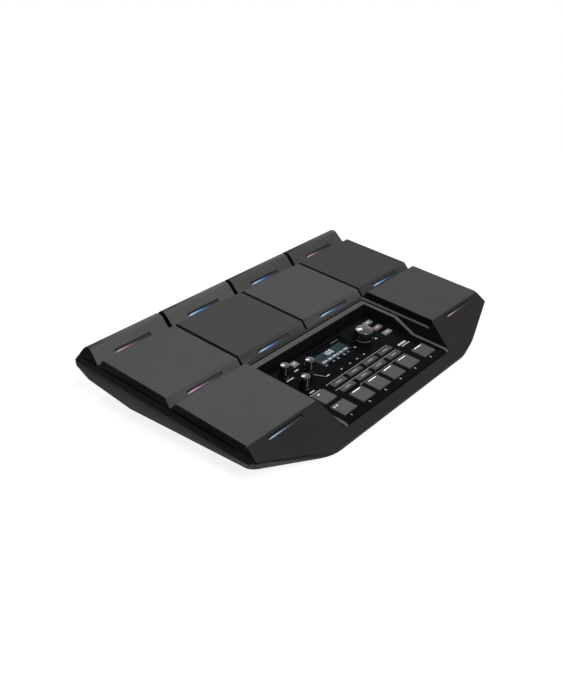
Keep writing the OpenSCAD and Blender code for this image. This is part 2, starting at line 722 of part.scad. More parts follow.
module case_screws() color("#888a8c") for (p = case_screws_at) {
    rod(p, screw_head_r, foot_h + screw_fit, foot_h + screw_head_h);
    rod(p, screw_r, foot_h + screw_head_h - touch, foot_h + screw_head_h + screw_len);
}
module feet() color("#151515") for (p = feet_at) rod(p, foot_r - screw_fit, 0, foot_h + foot_sink);
module mount_inserts() color("#b08d3c") for (p = inserts_at) difference() {
    rod(p, insert_r - touch, foot_h, foot_h + insert_len);
    rod(p, insert_bore_r, foot_h - past, foot_h + insert_len + past);
}

// Control panel
module panel_bezel() color("#3a3a3c") on_deck() difference() {
    intersection() {
        recess_room(-bezel_gap, seat_w, deck_w + past, -big / 2);
        along_x(-big, big)
            polygon([[0, seat_w], [0, bezel_top], [bezel_kink, bezel_top],
                     [bezel_kink - bezel_slope, bezel_low], [apron_v(bezel_low) + seat_fit, bezel_low],
                     [apron_v(panel_w - panel_lip) + seat_fit, panel_w - panel_lip + seat_fit],
                     [pocket_front + seat_fit, panel_w - panel_lip + seat_fit],
                     [pocket_front + seat_fit, seat_w]]);
    }
    intersection() {
        along_y(-big, big)
            polygon([[-bezel_half(panel_w), panel_w], [bezel_half(panel_w), panel_w], [bezel_half(0), 0],
                     [-bezel_half(0), 0]]);
        along_x(-big, big)
            polygon([[-big, panel_w], [bezel_back(panel_w), panel_w], [bezel_back(0), 0], [-big, 0]]);
    }
    block(-panel_half, panel_half, -big, panel_rear, plate_under, panel_w + touch);
    block(-opening_half, opening_half, opening_front, opening_rear, seat_w - past, plate_under + past);
}

module panel_plate() color("#101416") on_deck() difference() {
    along_x(-panel_half + seat_fit, panel_half - seat_fit)
        polygon([[panel_rear - seat_fit, plate_under], [panel_rear - seat_fit, panel_w],
                 [apron_v(panel_w) + seat_fit, panel_w],
                 [apron_v(panel_w - panel_lip) + seat_fit, panel_w - panel_lip + seat_fit],
                 [pocket_front + 2 * seat_fit, panel_w - panel_lip + seat_fit],
                 [pocket_front + 2 * seat_fit, plate_under]]);
    for (b = all_buttons)
        tile(b, [b[2] + 2 * button_fit, b[3] + 2 * button_fit], plate_under - past, panel_w + past);
    for (k = knobs_at) rod(k, shaft_r + shaft_hole, plate_under - past, panel_w + past);
    rod(dial_at, shaft_r + shaft_hole, plate_under - past, panel_w + past);
    tile(window_at, [window_w, window_d], panel_w - window_t, panel_w + past);
    tile(screen_at, [screen_w, screen_d], plate_under - past, panel_w + past);
}

module display_window() color("#1a2530") on_deck()
    tile(window_at, [window_w - 2 * seat_fit, window_d - 2 * seat_fit], panel_w - window_t, panel_w);
screen_rim = 4;
module display_module() color("#5f7f92") on_deck() {
    tile(screen_at, [screen_w + 2 * screen_rim, screen_d + 2 * screen_rim], board_top,
         plate_under - seat_fit);
    tile(screen_at, [screen_w - 2 * seat_fit, screen_d - 2 * seat_fit], plate_under - seat_fit - touch,
         panel_w - window_t - seat_fit);
}

flange_top = plate_under - button_seat;
flange_low = flange_top - flange_t;
module button(at) color("#5a5a5c") on_deck() {
    tile(at, [at[2], at[3]], flange_low, panel_w + button_proud);
    tile(at, [at[2] + 2 * button_flange, at[3] + 2 * button_flange], flange_low, flange_top);
}
tact_size = [6, 6];
plunger_r = 1.7;
plunger_h = 0.6;
press_room = 0.3;
plunger_top = flange_low - button_travel - press_room;
module tact_switches() color("#2b2b2b") on_deck() for (b = all_buttons) {
    tile(b, tact_size, board_top, plunger_top - plunger_h);
    rod(b, plunger_r, board_top + touch, plunger_top);
}

bearing_gap = 0.6;
bearing_top = plate_under - bearing_gap;
pot_size = [10, 11];
encoder_size = [12.6, 12.6];
shaft_floor = 1.5;
shaft_foot = board_top + shaft_floor;
module shaft_body(at, size) difference() {
    tile(at, size, board_top, bearing_top);
    rod(at, shaft_r + shaft_fit, shaft_foot, bearing_top + past);
}
// Potentiometers of the small knobs and the dial's encoder
module rotary_bodies() color("#4b6b4b") on_deck() {
    for (k = knobs_at) shaft_body(k, pot_size);
    shaft_body(dial_at, encoder_size);
}

knob_cap = 2.4;
module shaft(at, height) color("#a0a2a4") on_deck()
    rod(at, shaft_r, shaft_foot + shaft_fit, panel_w + knob_lift + height - knob_cap - shaft_fit);
knob_chamfer = 0.8;
knob_skirt = 0.7;
knob_skirt_h = 3;
module turned_knob(at, r, height, skirt) color("#2c2c2e") on_deck()
    translate([at.x, at.y, panel_w + knob_lift]) difference() {
        rotate_extrude()
            polygon([[0, 0], [r, 0], [r, knob_skirt_h], [r - skirt, knob_skirt_h + skirt],
                     [r - skirt, height - knob_chamfer], [r - skirt - knob_chamfer, height], [0, height]]);
        translate([0, 0, -past]) cylinder(r = shaft_r + shaft_fit, h = height - knob_cap + past);
    }

module panel_board() color("#1f4d2f") on_deck() difference() {
    block(-opening_half - panel_board_rim, opening_half + panel_board_rim, pocket_front + panel_board_inset,
          panel_rear - panel_board_inset, board_under, board_top);
    for (p = panel_screws_at) rod(p, board_screw_r + screw_fit, board_under - past, board_top + past);
}

// Boards and connectors
// Chips and capacitors of the main board: place across, place behind its front edge, width, depth, height
chips = [[-60, 28, 24, 24, 2.4], [0, 34, 18, 12, 1.8], [40, 28, 14, 20, 1.8], [80, 24, 16, 10, 6],
         [-105, 30, 12, 12, 5]];
module main_board() color("#1f4d2f") difference() {
    union() {
        block(-main_half, main_half, main_front, main_rear, main_z, main_top);
        for (chip = chips)
            tile([chip[0], main_front + chip[1]], [chip[2], chip[3]], main_z + touch, main_top + chip[4]);
    }
    for (p = main_screws_at) rod(p, board_screw_r + screw_fit, main_z - past, main_top + past);
}
module board_screws() color("#9a9c9e") {
    for (p = main_screws_at) {
        rod(p, board_screw_head_r, main_top, main_top + board_screw_head_h);
        rod(p, board_screw_r, main_top - board_screw_len + screw_fit, main_top + touch);
    }
    on_deck() for (p = panel_screws_at) {
        rod(p, board_screw_head_r, board_under - board_screw_head_h, board_under);
        rod(p, board_screw_r, board_under - touch, panel_screw_top - screw_fit);
    }
}

module audio_jacks() color("#202022") for (x = jacks_x) difference() {
    union() {
        block(x - jack_w / 2, x + jack_w / 2, jacks_front, bay_wall_in, main_top, main_top + jack_h);
        bar_y(x, jack_z, bush_r, bay_wall_in - touch, bay_y + nut_t + bush_proud);
    }
    bar_y(x, jack_z, jack_r, jacks_front + jack_end, bay_y + nut_t + bush_proud + past);
}
module jack_nuts() color("#b5b7ba") for (x = jacks_x) difference() {
    bar_y(x, jack_z, nut_r, bay_y, bay_y + nut_t, $fn = 6);
    bar_y(x, jack_z, bush_r + nut_clear, bay_y - past, bay_y + nut_t + past);
}
module usb_socket() color("#c0c2c4") difference() {
    block(usb_x - usb_size.x / 2, usb_x + usb_size.x / 2, bay_y - usb_size.y, bay_y, main_top,
          main_top + usb_size.z);
    block(usb_x - usb_opening.x / 2, usb_x + usb_opening.x / 2, bay_y - usb_depth, bay_y + past,
          main_top + (usb_size.z - usb_opening.y) / 2, main_top + (usb_size.z + usb_opening.y) / 2);
}
module power_inlet() color("#181818") {
    difference() {
        block(inlet_x - inlet_size.x / 2, inlet_x + inlet_size.x / 2, bay_y - inlet_size.y, bay_y, main_top,
              main_top + inlet_size.z);
        bar_y(inlet_x, inlet_z, inlet_r, bay_y - inlet_depth, bay_y + past);
    }
    bar_y(inlet_x, inlet_z, inlet_pin_r, bay_y - inlet_depth - touch, bay_y - inlet_pin_back);
}
module power_switch() color("#2b2b2b")
    tile([switch_x, power_back - power_travel - power_press_room - switch_size.y / 2],
         [switch_size.x, switch_size.y], main_top, main_top + switch_size.z);
module power_button() color("#b9bbbd") {
    block(switch_x - power_cap.x / 2, switch_x + power_cap.x / 2, power_back, bay_y + power_proud,
          power_z - power_cap.y / 2, power_z + power_cap.y / 2);
    block(switch_x - power_cap.x / 2 - button_flange, switch_x + power_cap.x / 2 + button_flange, power_back,
          bay_wall_in - button_seat, power_z - power_cap.y / 2 - button_flange,
          power_z + power_cap.y / 2 + button_flange);
}

top_case();
bottom_case();
case_screws();
feet();
mount_inserts();
for (c = flat_columns) {
    rear_pad(c);
    mid_pad(c);
}
front_pad(0);  // front_pad_left
front_pad(3);  // front_pad_right
light_bars();
light_boards();
pad_sensors();
panel_bezel();
panel_plate();
display_window();
display_module();
for (k = [0:5]) button(front_buttons[k]);
for (k = [0:7]) button(row_buttons[k]);
button(corner_button_at);  // corner_button
button(square_button_at);  // square_button
for (k = [0:len(side_s) - 1]) button(side_buttons[k]);
tact_switches();
for (k = [0:2]) {
    turned_knob(knobs_at[k], knob_r, knob_h, knob_skirt);
    shaft(knobs_at[k], knob_h);
}
rotary_bodies();
turned_knob(dial_at, dial_r, dial_h, knob_skirt);  // dial
shaft(dial_at, dial_h);  // dial_shaft
panel_board();
main_board();
board_screws();
audio_jacks();
jack_nuts();
usb_socket();
power_inlet();
power_switch();
power_button();
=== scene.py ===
"""Looks of a sampling percussion pad.

Moulded rubber pads, a printed glossy panel, lit slots and turned knobs.
"""
import json
import math

import bmesh
import bpy
import numpy as np
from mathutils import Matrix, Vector


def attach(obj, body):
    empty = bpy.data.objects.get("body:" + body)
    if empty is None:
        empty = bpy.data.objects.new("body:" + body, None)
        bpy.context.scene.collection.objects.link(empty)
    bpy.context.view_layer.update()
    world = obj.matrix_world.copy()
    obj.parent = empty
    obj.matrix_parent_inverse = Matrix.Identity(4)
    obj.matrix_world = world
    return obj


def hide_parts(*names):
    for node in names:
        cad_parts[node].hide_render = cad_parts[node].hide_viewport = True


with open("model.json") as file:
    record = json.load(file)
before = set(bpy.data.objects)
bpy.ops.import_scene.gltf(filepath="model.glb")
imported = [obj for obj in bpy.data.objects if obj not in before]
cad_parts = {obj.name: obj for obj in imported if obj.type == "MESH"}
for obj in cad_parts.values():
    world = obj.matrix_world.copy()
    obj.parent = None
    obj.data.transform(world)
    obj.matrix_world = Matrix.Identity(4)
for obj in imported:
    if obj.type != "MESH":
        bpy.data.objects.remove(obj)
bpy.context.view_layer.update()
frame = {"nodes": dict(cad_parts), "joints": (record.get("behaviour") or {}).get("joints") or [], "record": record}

# Frame of the panel: across, rearward along the panel, and out of it, from the dial's joint
MM = 0.001
JOINTS = {joint["name"]: joint for joint in frame["joints"]}
DIAL_ACROSS = 45.0
DIAL_BACK = 76.6
ACROSS = np.array([1.0, 0.0, 0.0])
NORMAL = np.array(JOINTS["dial_turn"]["axis"])
ALONG = np.cross(NORMAL, ACROSS)
AXES = np.stack([ACROSS, ALONG, NORMAL])
PANEL = np.array(JOINTS["dial_turn"]["pos_m"]) - MM * (DIAL_ACROSS * ACROSS + DIAL_BACK * ALONG)
TILT = math.atan2(ALONG[2], ALONG[1])


def on_panel(points):
    """Places given in millimetres as across, back and out, moved into the object's frame in metres."""
    return PANEL + MM * np.asarray(points, float) @ AXES


def in_body(points):
    """Places given in millimetres along the object's own axes, in metres."""
    return MM * np.asarray(points, float)


def panel_box(node):
    """Lowest and highest across, back and out of a CAD node in the panel's frame, in millimetres."""
    mesh = frame["nodes"][node].data
    flat = np.empty(len(mesh.vertices) * 3)
    mesh.vertices.foreach_get("co", flat)
    local = (flat.reshape(-1, 3) - PANEL) @ AXES.T / MM
    return local.min(0), local.max(0)


def pivot(joint):
    """Across and back of a joint's pivot on the panel, in millimetres."""
    local = AXES @ (np.array(JOINTS[joint]["pos_m"]) - PANEL) / MM
    return local[:2]


# Materials

NOISE_ROUGHNESS = 0.55
NOISE_LOW = 0.3
NOISE_HIGH = 0.7
ROUGHNESS_DRIFT = 0.05
DRIFT_TO_GRAIN = 6
CELL_SCALE = 280.0


def shader_of(name):
    """A new node material with its node tree and its shader."""
    made = bpy.data.materials.new(name)
    made.use_nodes = True
    return made, made.node_tree, made.node_tree.nodes["Principled BSDF"]


def add_node(tree, kind, **sockets):
    """A new node with values set on its input sockets."""
    node = tree.nodes.new(kind)
    for key, value in sockets.items():
        node.inputs[key.replace("_", " ")].default_value = value
    return node


def noise(tree, size, detail=3.0):
    """Noise on the object's coordinates whose features are about size metres across."""
    place = tree.nodes.new("ShaderNodeTexCoord")
    made = add_node(tree, "ShaderNodeTexNoise", Scale=1.0 / size, Detail=detail, Roughness=NOISE_ROUGHNESS)
    tree.links.new(place.outputs["Object"], made.inputs["Vector"])
    return made.outputs["Fac"]


def ramp(tree, source, stops):
    """Colours or levels spread over a factor by a colour ramp."""
    made = tree.nodes.new("ShaderNodeValToRGB")
    tree.links.new(source, made.inputs["Fac"])
    while len(made.color_ramp.elements) < len(stops):
        made.color_ramp.elements.new(0.5)
    for element, (place, colour) in zip(made.color_ramp.elements, stops):
        element.position = place
        element.color = (*colour, 1.0)
    return made.outputs["Color"]


def spread(tree, source, low, high):
    """A level that runs from low to high over the middle of a noise."""
    made = add_node(tree, "ShaderNodeMapRange", From_Min=NOISE_LOW, From_Max=NOISE_HIGH,
                    To_Min=low, To_Max=high)
    tree.links.new(source, made.inputs["Value"])
    return made.outputs["Result"]


def bumped(tree, shader, source, depth):
    """Bump of a depth in metres on the shader's normal."""
    made = add_node(tree, "ShaderNodeBump", Strength=1.0, Distance=depth)
    tree.links.new(source, made.inputs["Height"])
    tree.links.new(made.outputs["Normal"], shader.inputs["Normal"])


def clouded(tree, source, low, high):
    """Two colours blended over the middle of a noise."""
    return ramp(tree, source, [(NOISE_LOW, low), (NOISE_HIGH, high)])


def multiplied(tree, first, second, share=1.0):
    """Two colours multiplied, the second to a share."""
    made = tree.nodes.new("ShaderNodeMix")
    made.data_type = "RGBA"
    made.blend_type = "MULTIPLY"
    made.inputs["Factor"].default_value = share
    tree.links.new(first, made.inputs["A"])
    tree.links.new(second, made.inputs["B"])
    return made.outputs["Result"]


def moulded(name, colour, roughness, grain, depth, mottle=0.12, specular=0.4, broad=0.05, metal=0.0):
    """Moulded or cast finish: fine grain as bump, and broad drifts of shade and roughness.

    The grain's size and depth, and the size of the drifts, are in metres.
    """
    made, tree, shader = shader_of(name)
    shade = np.array(colour)
    drift = noise(tree, broad)
    tree.links.new(clouded(tree, drift, shade * (1 - mottle), shade * (1 + mottle)),
                   shader.inputs["Base Color"])
    uneven = spread(tree, drift, roughness - ROUGHNESS_DRIFT, roughness + ROUGHNESS_DRIFT)
    tree.links.new(uneven, shader.inputs["Roughness"])
    bumped(tree, shader, noise(tree, grain, detail=2.0), depth)
    shader.inputs["Specular IOR Level"].default_value = specular
    shader.inputs["Metallic"].default_value = metal
    return made


def pad_rubber(name, colour):
    """Matte moulded rubber: a fine pebble grain, faint broad drifts, a soft sheen at grazing light."""
    made = moulded(name, colour, 0.62, 0.0006, 0.00004, mottle=0.06, specular=0.03, broad=0.07)
    shader = made.node_tree.nodes["Principled BSDF"]
    shader.inputs["Sheen Weight"].default_value = 0.08
    shader.inputs["Sheen Roughness"].default_value = 0.5
    return made


def satin_button(name, colour):
    """Satin moulded button cap: a fine grain, and narrow drifts of shade."""
    return moulded(name, colour, 0.5, 0.0004, 0.00002, mottle=0.08, specular=0.12, broad=0.01)


def glossy_panel():
    """Gloss black plastic with a cool tint, dulled in patches by handling."""
    made, tree, shader = shader_of("panel_gloss")
    drift = noise(tree, 0.03, detail=5.0)
    tree.links.new(clouded(tree, drift, (0.0026, 0.0033, 0.0036), (0.004, 0.005, 0.0056)),
                   shader.inputs["Base Color"])
    tree.links.new(spread(tree, drift, 0.08, 0.15), shader.inputs["Roughness"])
    bumped(tree, shader, noise(tree, 0.004), 0.000004)
    shader.inputs["Specular IOR Level"].default_value = 0.01
    return made


def knob_gloss():
    """Polished black plastic under a clear coat, with a faint fine grain as bump."""
    made, tree, shader = shader_of("knob_gloss")
    drift = noise(tree, 0.008)
    tree.links.new(clouded(tree, drift, (0.006, 0.006, 0.0065), (0.010, 0.010, 0.011)),
                   shader.inputs["Base Color"])
    tree.links.new(spread(tree, drift, 0.14, 0.24), shader.inputs["Roughness"])
    bumped(tree, shader, noise(tree, 0.0006), 0.000006)
    shader.inputs["Specular IOR Level"].default_value = 0.12
    shader.inputs["Coat Weight"].default_value = 1.0
    shader.inputs["Coat Roughness"].default_value = 0.06
    shader.inputs["Coat IOR"].default_value = 1.6
    return made


def ink(name, shade):
    """Screen printed ink of one shade, slightly uneven."""
    made, tree, shader = shader_of(name)
    level = np.full(3, shade)
    tree.links.new(clouded(tree, noise(tree, 0.0012), level * 0.85, level * 1.12),
                   shader.inputs["Base Color"])
    bumped(tree, shader, noise(tree, 0.0004), 0.000005)
    shader.inputs["Roughness"].default_value = 0.55
    return made


def lit_window(name, colour, strength):
    """Frosted lamp window: its own light, a little uneven over the diffuser."""
    made, tree, shader = shader_of(name)
    shade = np.array(colour)
    cloud = clouded(tree, noise(tree, 0.004), shade * 0.85, np.minimum(shade * 1.1, 1.0))
    tree.links.new(cloud, shader.inputs["Emission Color"])
    tree.links.new(cloud, shader.inputs["Base Color"])
    shader.inputs["Emission Strength"].default_value = strength
    shader.inputs["Roughness"].default_value = 0.4
    return made


def light_bar():
    """Clear light guide: the glow attribute holds its light, painted brightest at the left end and fading to the
    right, with painted shadow over the window's top.
    """
    made, tree, shader = shader_of("light_guide")
    glow = tree.nodes.new("ShaderNodeAttribute")
    glow.attribute_name = "glow"
    cloud = clouded(tree, noise(tree, 0.003), (0.6, 0.6, 0.6), (1.0, 1.0, 1.0))
    tree.links.new(multiplied(tree, glow.outputs["Color"], cloud, 0.35), shader.inputs["Emission Color"])
    shader.inputs["Emission Strength"].default_value = 1.0
    shader.inputs["Base Color"].default_value = (0.045, 0.045, 0.046, 1.0)
    shader.inputs["Roughness"].default_value = 0.6
    shader.inputs["Specular IOR Level"].default_value = 0.05
    return made


def liquid_crystal():
    """Lit display: an uneven cool glow crossed by the fine dark lines between its cells."""
    made, tree, shader = shader_of("liquid_crystal")
    place = tree.nodes.new("ShaderNodeTexCoord")
    turn = tree.nodes.new("ShaderNodeMapping")
    turn.inputs["Rotation"].default_value = (-TILT, 0.0, 0.0)
    tree.links.new(place.outputs["Object"], turn.inputs["Vector"])
    lines = []
    for direction in ("X", "Y"):
        wave = add_node(tree, "ShaderNodeTexWave", Scale=CELL_SCALE)
        wave.bands_direction = direction
        tree.links.new(turn.outputs["Vector"], wave.inputs["Vector"])
        lines.append(ramp(tree, wave.outputs["Fac"], [(0.0, (0.72, 0.72, 0.72)), (0.25, (1.0, 1.0, 1.0))]))
    cells = multiplied(tree, lines[0], lines[1])
    glow = clouded(tree, noise(tree, 0.02), (0.026, 0.046, 0.058), (0.046, 0.078, 0.098))
    tree.links.new(multiplied(tree, cells, glow), shader.inputs["Emission Color"])
    shader.inputs["Emission Strength"].default_value = 1.0
    shader.inputs["Base Color"].default_value = (0.012, 0.018, 0.022, 1.0)
    shader.inputs["Roughness"].default_value = 0.5
    shader.inputs["Specular IOR Level"].default_value = 0.05
    return made


def clear_window():
    """Clear acrylic over the display: thin, faintly smoked and dulled in patches."""
    made, tree, shader = shader_of("clear_acrylic")
    drift = noise(tree, 0.02)
    tree.links.new(clouded(tree, drift, (0.003, 0.004, 0.005), (0.005, 0.006, 0.007)),
                   shader.inputs["Base Color"])
    tree.links.new(spread(tree, drift, 0.05, 0.1), shader.inputs["Roughness"])
    shader.inputs["Specular IOR Level"].default_value = 0.02
    shader.inputs["Alpha"].default_value = 0.25
    return made


def circuit_board():
    """Green solder mask with the faint relief of its tracks."""
    made, tree, shader = shader_of("solder_mask")
    tracks = noise(tree, 0.004, detail=1.0)
    tree.links.new(ramp(tree, tracks, [(0.45, (0.012, 0.06, 0.025)), (0.55, (0.02, 0.11, 0.045))]),
                   shader.inputs["Base Color"])
    bumped(tree, shader, tracks, 0.00003)
    shader.inputs["Roughness"].default_value = 0.35
    return made


def metal(name, colour, roughness, grain):
    """Plated or turned metal: a fine grain, with drifts of shade and roughness a few grains across."""
    return moulded(name, colour, roughness, grain, 0.000008, mottle=0.08, specular=0.5,
                   broad=grain * DRIFT_TO_GRAIN, metal=1.0)


# Pad greys: the first is the rubber's own grey; the lighter and darker copies paint the light and shade that fall
# on single pads
PAD_GREY = (0.078, 0.078, 0.077)
PAD_PAINTED_LIGHT = (0.098, 0.098, 0.0962)
PAD_PAINTED_SHADE_SOFT = (0.064, 0.064, 0.0634)
PAD_PAINTED_SHADE_MID = (0.058, 0.058, 0.0574)
PAD_PAINTED_SHADE_DEEP = (0.049, 0.049, 0.0484)
# Finishes by slot: a moulded one has a colour, a roughness, and the size and depth of its grain in metres
FINISHES = {
    "pad_rubber": pad_rubber("pad_rubber_grey", PAD_GREY),
    "foot_rubber": moulded("foot_rubber_black", (0.012, 0.012, 0.012), 0.7, 0.0007, 0.00004, specular=0.25),
    "upper_case": moulded("upper_case_satin", (0.0235, 0.0237, 0.0238), 0.55, 0.0005, 0.00002, specular=0.04),
    "lower_case": moulded("lower_case_texture", (0.026, 0.0262, 0.026), 0.6, 0.0007, 0.00005, specular=0.04),
    "bezel": moulded("bezel_satin", (0.1, 0.1, 0.1), 0.5, 0.0005, 0.00002, specular=0.03),
    "panel": glossy_panel(),
    "window": clear_window(),
    "screen": liquid_crystal(),
    "button": satin_button("button_satin", (0.077, 0.078, 0.079)),
    "knob": knob_gloss(),
    "light_bar": light_bar(),
    "black_plastic": moulded("black_plastic_satin", (0.014, 0.014, 0.014), 0.45, 0.0005, 0.00002),
    "power_cap": moulded("power_cap_grey", (0.2, 0.2, 0.205), 0.5, 0.0004, 0.00002, broad=0.01),
    "circuit_board": circuit_board(),
    "sensor_film": moulded("sensor_film_smoke", (0.022, 0.021, 0.02), 0.45, 0.001, 0.00001),
    "steel": metal("plated_steel", (0.5, 0.5, 0.51), 0.32, 0.0008),
    "bright_metal": metal("nickel_plate", (0.62, 0.61, 0.6), 0.22, 0.0008),
    "insert_brass": metal("turned_brass", (0.6, 0.43, 0.16), 0.3, 0.0006),
}
WHITE_INK = ink("white_ink", 0.8)
GREY_INK = ink("grey_ink", 0.37)
# Near black that paints shade on the pads' sideways faces, so that the seams between pads read dark
PAD_SIDE_PAINTED_SHADE = moulded("pad_side_painted_shade", (0.006, 0.006, 0.006), 0.65, 0.0006, 0.00003, specular=0.03)
# Near black that paints shade on the recess's upright walls, the case's sides, the ledges beside the pads and the
# bezel's walls
RECESS_PAINTED_SHADE = moulded("recess_painted_shade", (0.004, 0.004, 0.0042), 0.5, 0.0005, 0.00002, specular=0.03)
BUTTON_LAMP = lit_window("button_lamp", (0.8, 0.82, 0.84), 0.7)
SCREEN_MARK = lit_window("screen_mark", (0.80, 0.86, 0.90), 1.0)
SLOT_OF = {part["node"]: part["material_slot"] for part in frame["record"]["subparts"]}
BODY_OF = {node: body for body, nodes in frame["record"]["behaviour"]["bodies"].items() for node in nodes}
# Nodes with a finish of their own; the pads among them take lighter or darker copies of the one pad rubber,
# painted light and painted shade for how much light falls on each pad
SPECIAL = {
    "square_button": satin_button("button_light_grey", (0.21, 0.21, 0.21)),
    "side_button_1": satin_button("button_mid_grey", (0.2, 0.2, 0.2)),
    "side_button_2": satin_button("button_rose", (0.215, 0.15, 0.17)),
    "row_button_2": satin_button("button_rust", (0.071, 0.061, 0.06)),
    "rear_pad_1": pad_rubber("pad_rubber_painted_light", PAD_PAINTED_LIGHT),
    "front_pad_right": pad_rubber("pad_rubber_painted_shade_soft", PAD_PAINTED_SHADE_SOFT),
    "mid_pad_2": pad_rubber("pad_rubber_painted_shade_mid", PAD_PAINTED_SHADE_MID),
    "mid_pad_4": pad_rubber("pad_rubber_painted_shade_deep", PAD_PAINTED_SHADE_DEEP),
}
SPECIAL["side_button_3"] = SPECIAL["side_button_1"]
SPECIAL["rear_pad_2"] = SPECIAL["rear_pad_1"]
ROW_GREY = satin_button("button_dark_grey", (0.06, 0.06, 0.059))


def finish_of(node):
    """The material of a CAD node: its own where it has one, else the one for its slot."""
    if node.startswith("row_button"):
        return SPECIAL.get(node, ROW_GREY)
    return SPECIAL.get(node, FINISHES[SLOT_OF[node]])


for node, part in frame["nodes"].items():
    part.data.materials.clear()
    part.data.materials.append(finish_of(node))


# Mesh helpers

SMOOTH_UNDER = math.radians(40)
SHELL_SMOOTH_UNDER = math.radians(60)
FLAT_WITHIN = math.radians(0.3)
MERGE = 1e-6
ARC_STEPS = 6


def quads(rows, columns, wrap):
    """Faces of a grid of points, row by row; wrap joins the last column to the first."""
    row = np.arange(rows - 1)[:, None]
    column = np.arange(columns if wrap else columns - 1)[None, :]
    after = (column + 1) % columns
    first = row * columns
    second = (row + 1) * columns
    corners = [first + column, first + after, second + after, second + column]
    return np.stack(corners, -1).reshape(-1, 4)


def repeated(faces, points_each, copies):
    """The faces of one shape repeated for several copies whose points follow each other."""
    return (np.arange(copies)[:, None, None] * points_each + faces).reshape(-1, faces.shape[1])


def finish_mesh(mesh):
    """Merges doubles, turns the faces outwards and leaves only true corners sharp."""
    work = bmesh.new()
    work.from_mesh(mesh)
    bmesh.ops.remove_doubles(work, verts=work.verts, dist=MERGE)
    bmesh.ops.recalc_face_normals(work, faces=work.faces)
    work.to_mesh(mesh)
    work.free()
    mesh.polygons.foreach_set("use_smooth", np.ones(len(mesh.polygons), bool))
    mesh.set_sharp_from_angle(angle=SMOOTH_UNDER)


def new_piece(name, points, faces, material, body="case", stands_for=(), glow=None):
    """A piece from points in metres and faces, that rides on a body and may stand for CAD nodes."""
    mesh = bpy.data.meshes.new(name)
    mesh.from_pydata(np.asarray(points).reshape(-1, 3).tolist(), [], [list(face) for face in faces])
    if glow is not None:
        layer = mesh.attributes.new("glow", "FLOAT_COLOR", "POINT")
        layer.data.foreach_set("color", np.asarray(glow, np.float32).ravel())
    finish_mesh(mesh)
    mesh.materials.append(material)
    piece = bpy.data.objects.new(name, mesh)
    bpy.context.scene.collection.objects.link(piece)
    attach(piece, body)
    if stands_for:
        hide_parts(*stands_for)


def turned(profile, steps, flutes=0, depth=0.0, grip=(0.0, 0.0)):
    """Turned surface: each profile point, a radius and a height, swept round its axis.

    Between the grip's two heights the radius loses depth times half of one plus the cosine of flutes times
    the angle.
    """
    low, high = grip
    radius, height = np.asarray(profile, float).T
    angle = np.linspace(0, 2 * np.pi, steps, endpoint=False)
    cut = depth * ((height > low) & (height < high))[:, None] * (1 + np.cos(flutes * angle))[None, :] / 2
    reach = radius[:, None] - cut
    points = np.stack([reach * np.cos(angle), reach * np.sin(angle), height[:, None] + 0 * angle], -1)
    return points, quads(len(profile), steps, True)


def rounded(corners, radii):
    """A polyline with rounded inner corners: each arc is a quadratic curve between its ends."""
    corners = np.asarray(corners, float)
    out = [corners[:1]]
    for before, corner, after, radius in zip(corners[:-2], corners[1:-1], corners[2:], radii):
        back = before - corner
        ahead = after - corner
        start = corner + back * min(radius / np.linalg.norm(back), 0.5)
        end = corner + ahead * min(radius / np.linalg.norm(ahead), 0.5)
        t = np.linspace(0, 1, ARC_STEPS)[:, None]
        out.append((1 - t) ** 2 * start + 2 * t * (1 - t) * corner + t ** 2 * end)
    out.append(corners[-1:])
    return np.concatenate(out)


def slabs(boxes):
    """Thin blocks: eight corners and six faces for each row of lowest and highest across, back and out."""
    boxes = np.asarray(boxes, float)
    pick = np.array([[0, 2, 4], [1, 2, 4], [1, 3, 4], [0, 3, 4], [0, 2, 5], [1, 2, 5], [1, 3, 5], [0, 3, 5]])
    sides = np.array([[3, 2, 1, 0], [4, 5, 6, 7], [0, 1, 5, 4], [1, 2, 6, 5], [2, 3, 7, 6], [3, 0, 4, 7]])
    return boxes[:, pick].reshape(-1, 3), repeated(sides, 8, len(boxes))


def joined_copy(node, join_flats):
    """A CAD node's mesh with its doubles merged and, for plain shapes, its coplanar triangles joined."""
    work = bmesh.new()
    work.from_mesh(frame["nodes"][node].data)
    bmesh.ops.remove_doubles(work, verts=work.verts, dist=MERGE)
    if join_flats:
        bmesh.ops.dissolve_limit(work, angle_limit=FLAT_WITHIN, verts=work.verts, edges=work.edges)
    return work


SHARP_OVER = math.radians(25)
EDGE_TO_WIDTH = 3
FACE_TO_WIDTH = 2.2
ROUND_SEGMENTS = 2


def roundable(edge, width):
    """True where two faces meet sharply along an edge and both reach well past the rounding."""
    if len(edge.link_faces) != 2 or edge.calc_length() < EDGE_TO_WIDTH * width:
        return False
    if edge.calc_face_angle(0) < SHARP_OVER:
        return False
    start = edge.verts[0].co
    along = (edge.verts[1].co - start).normalized()
    for face in edge.link_faces:
        reach = max((v.co - start - along * (v.co - start).dot(along)).length for v in face.verts)
        if reach < FACE_TO_WIDTH * width:
            return False
    return True


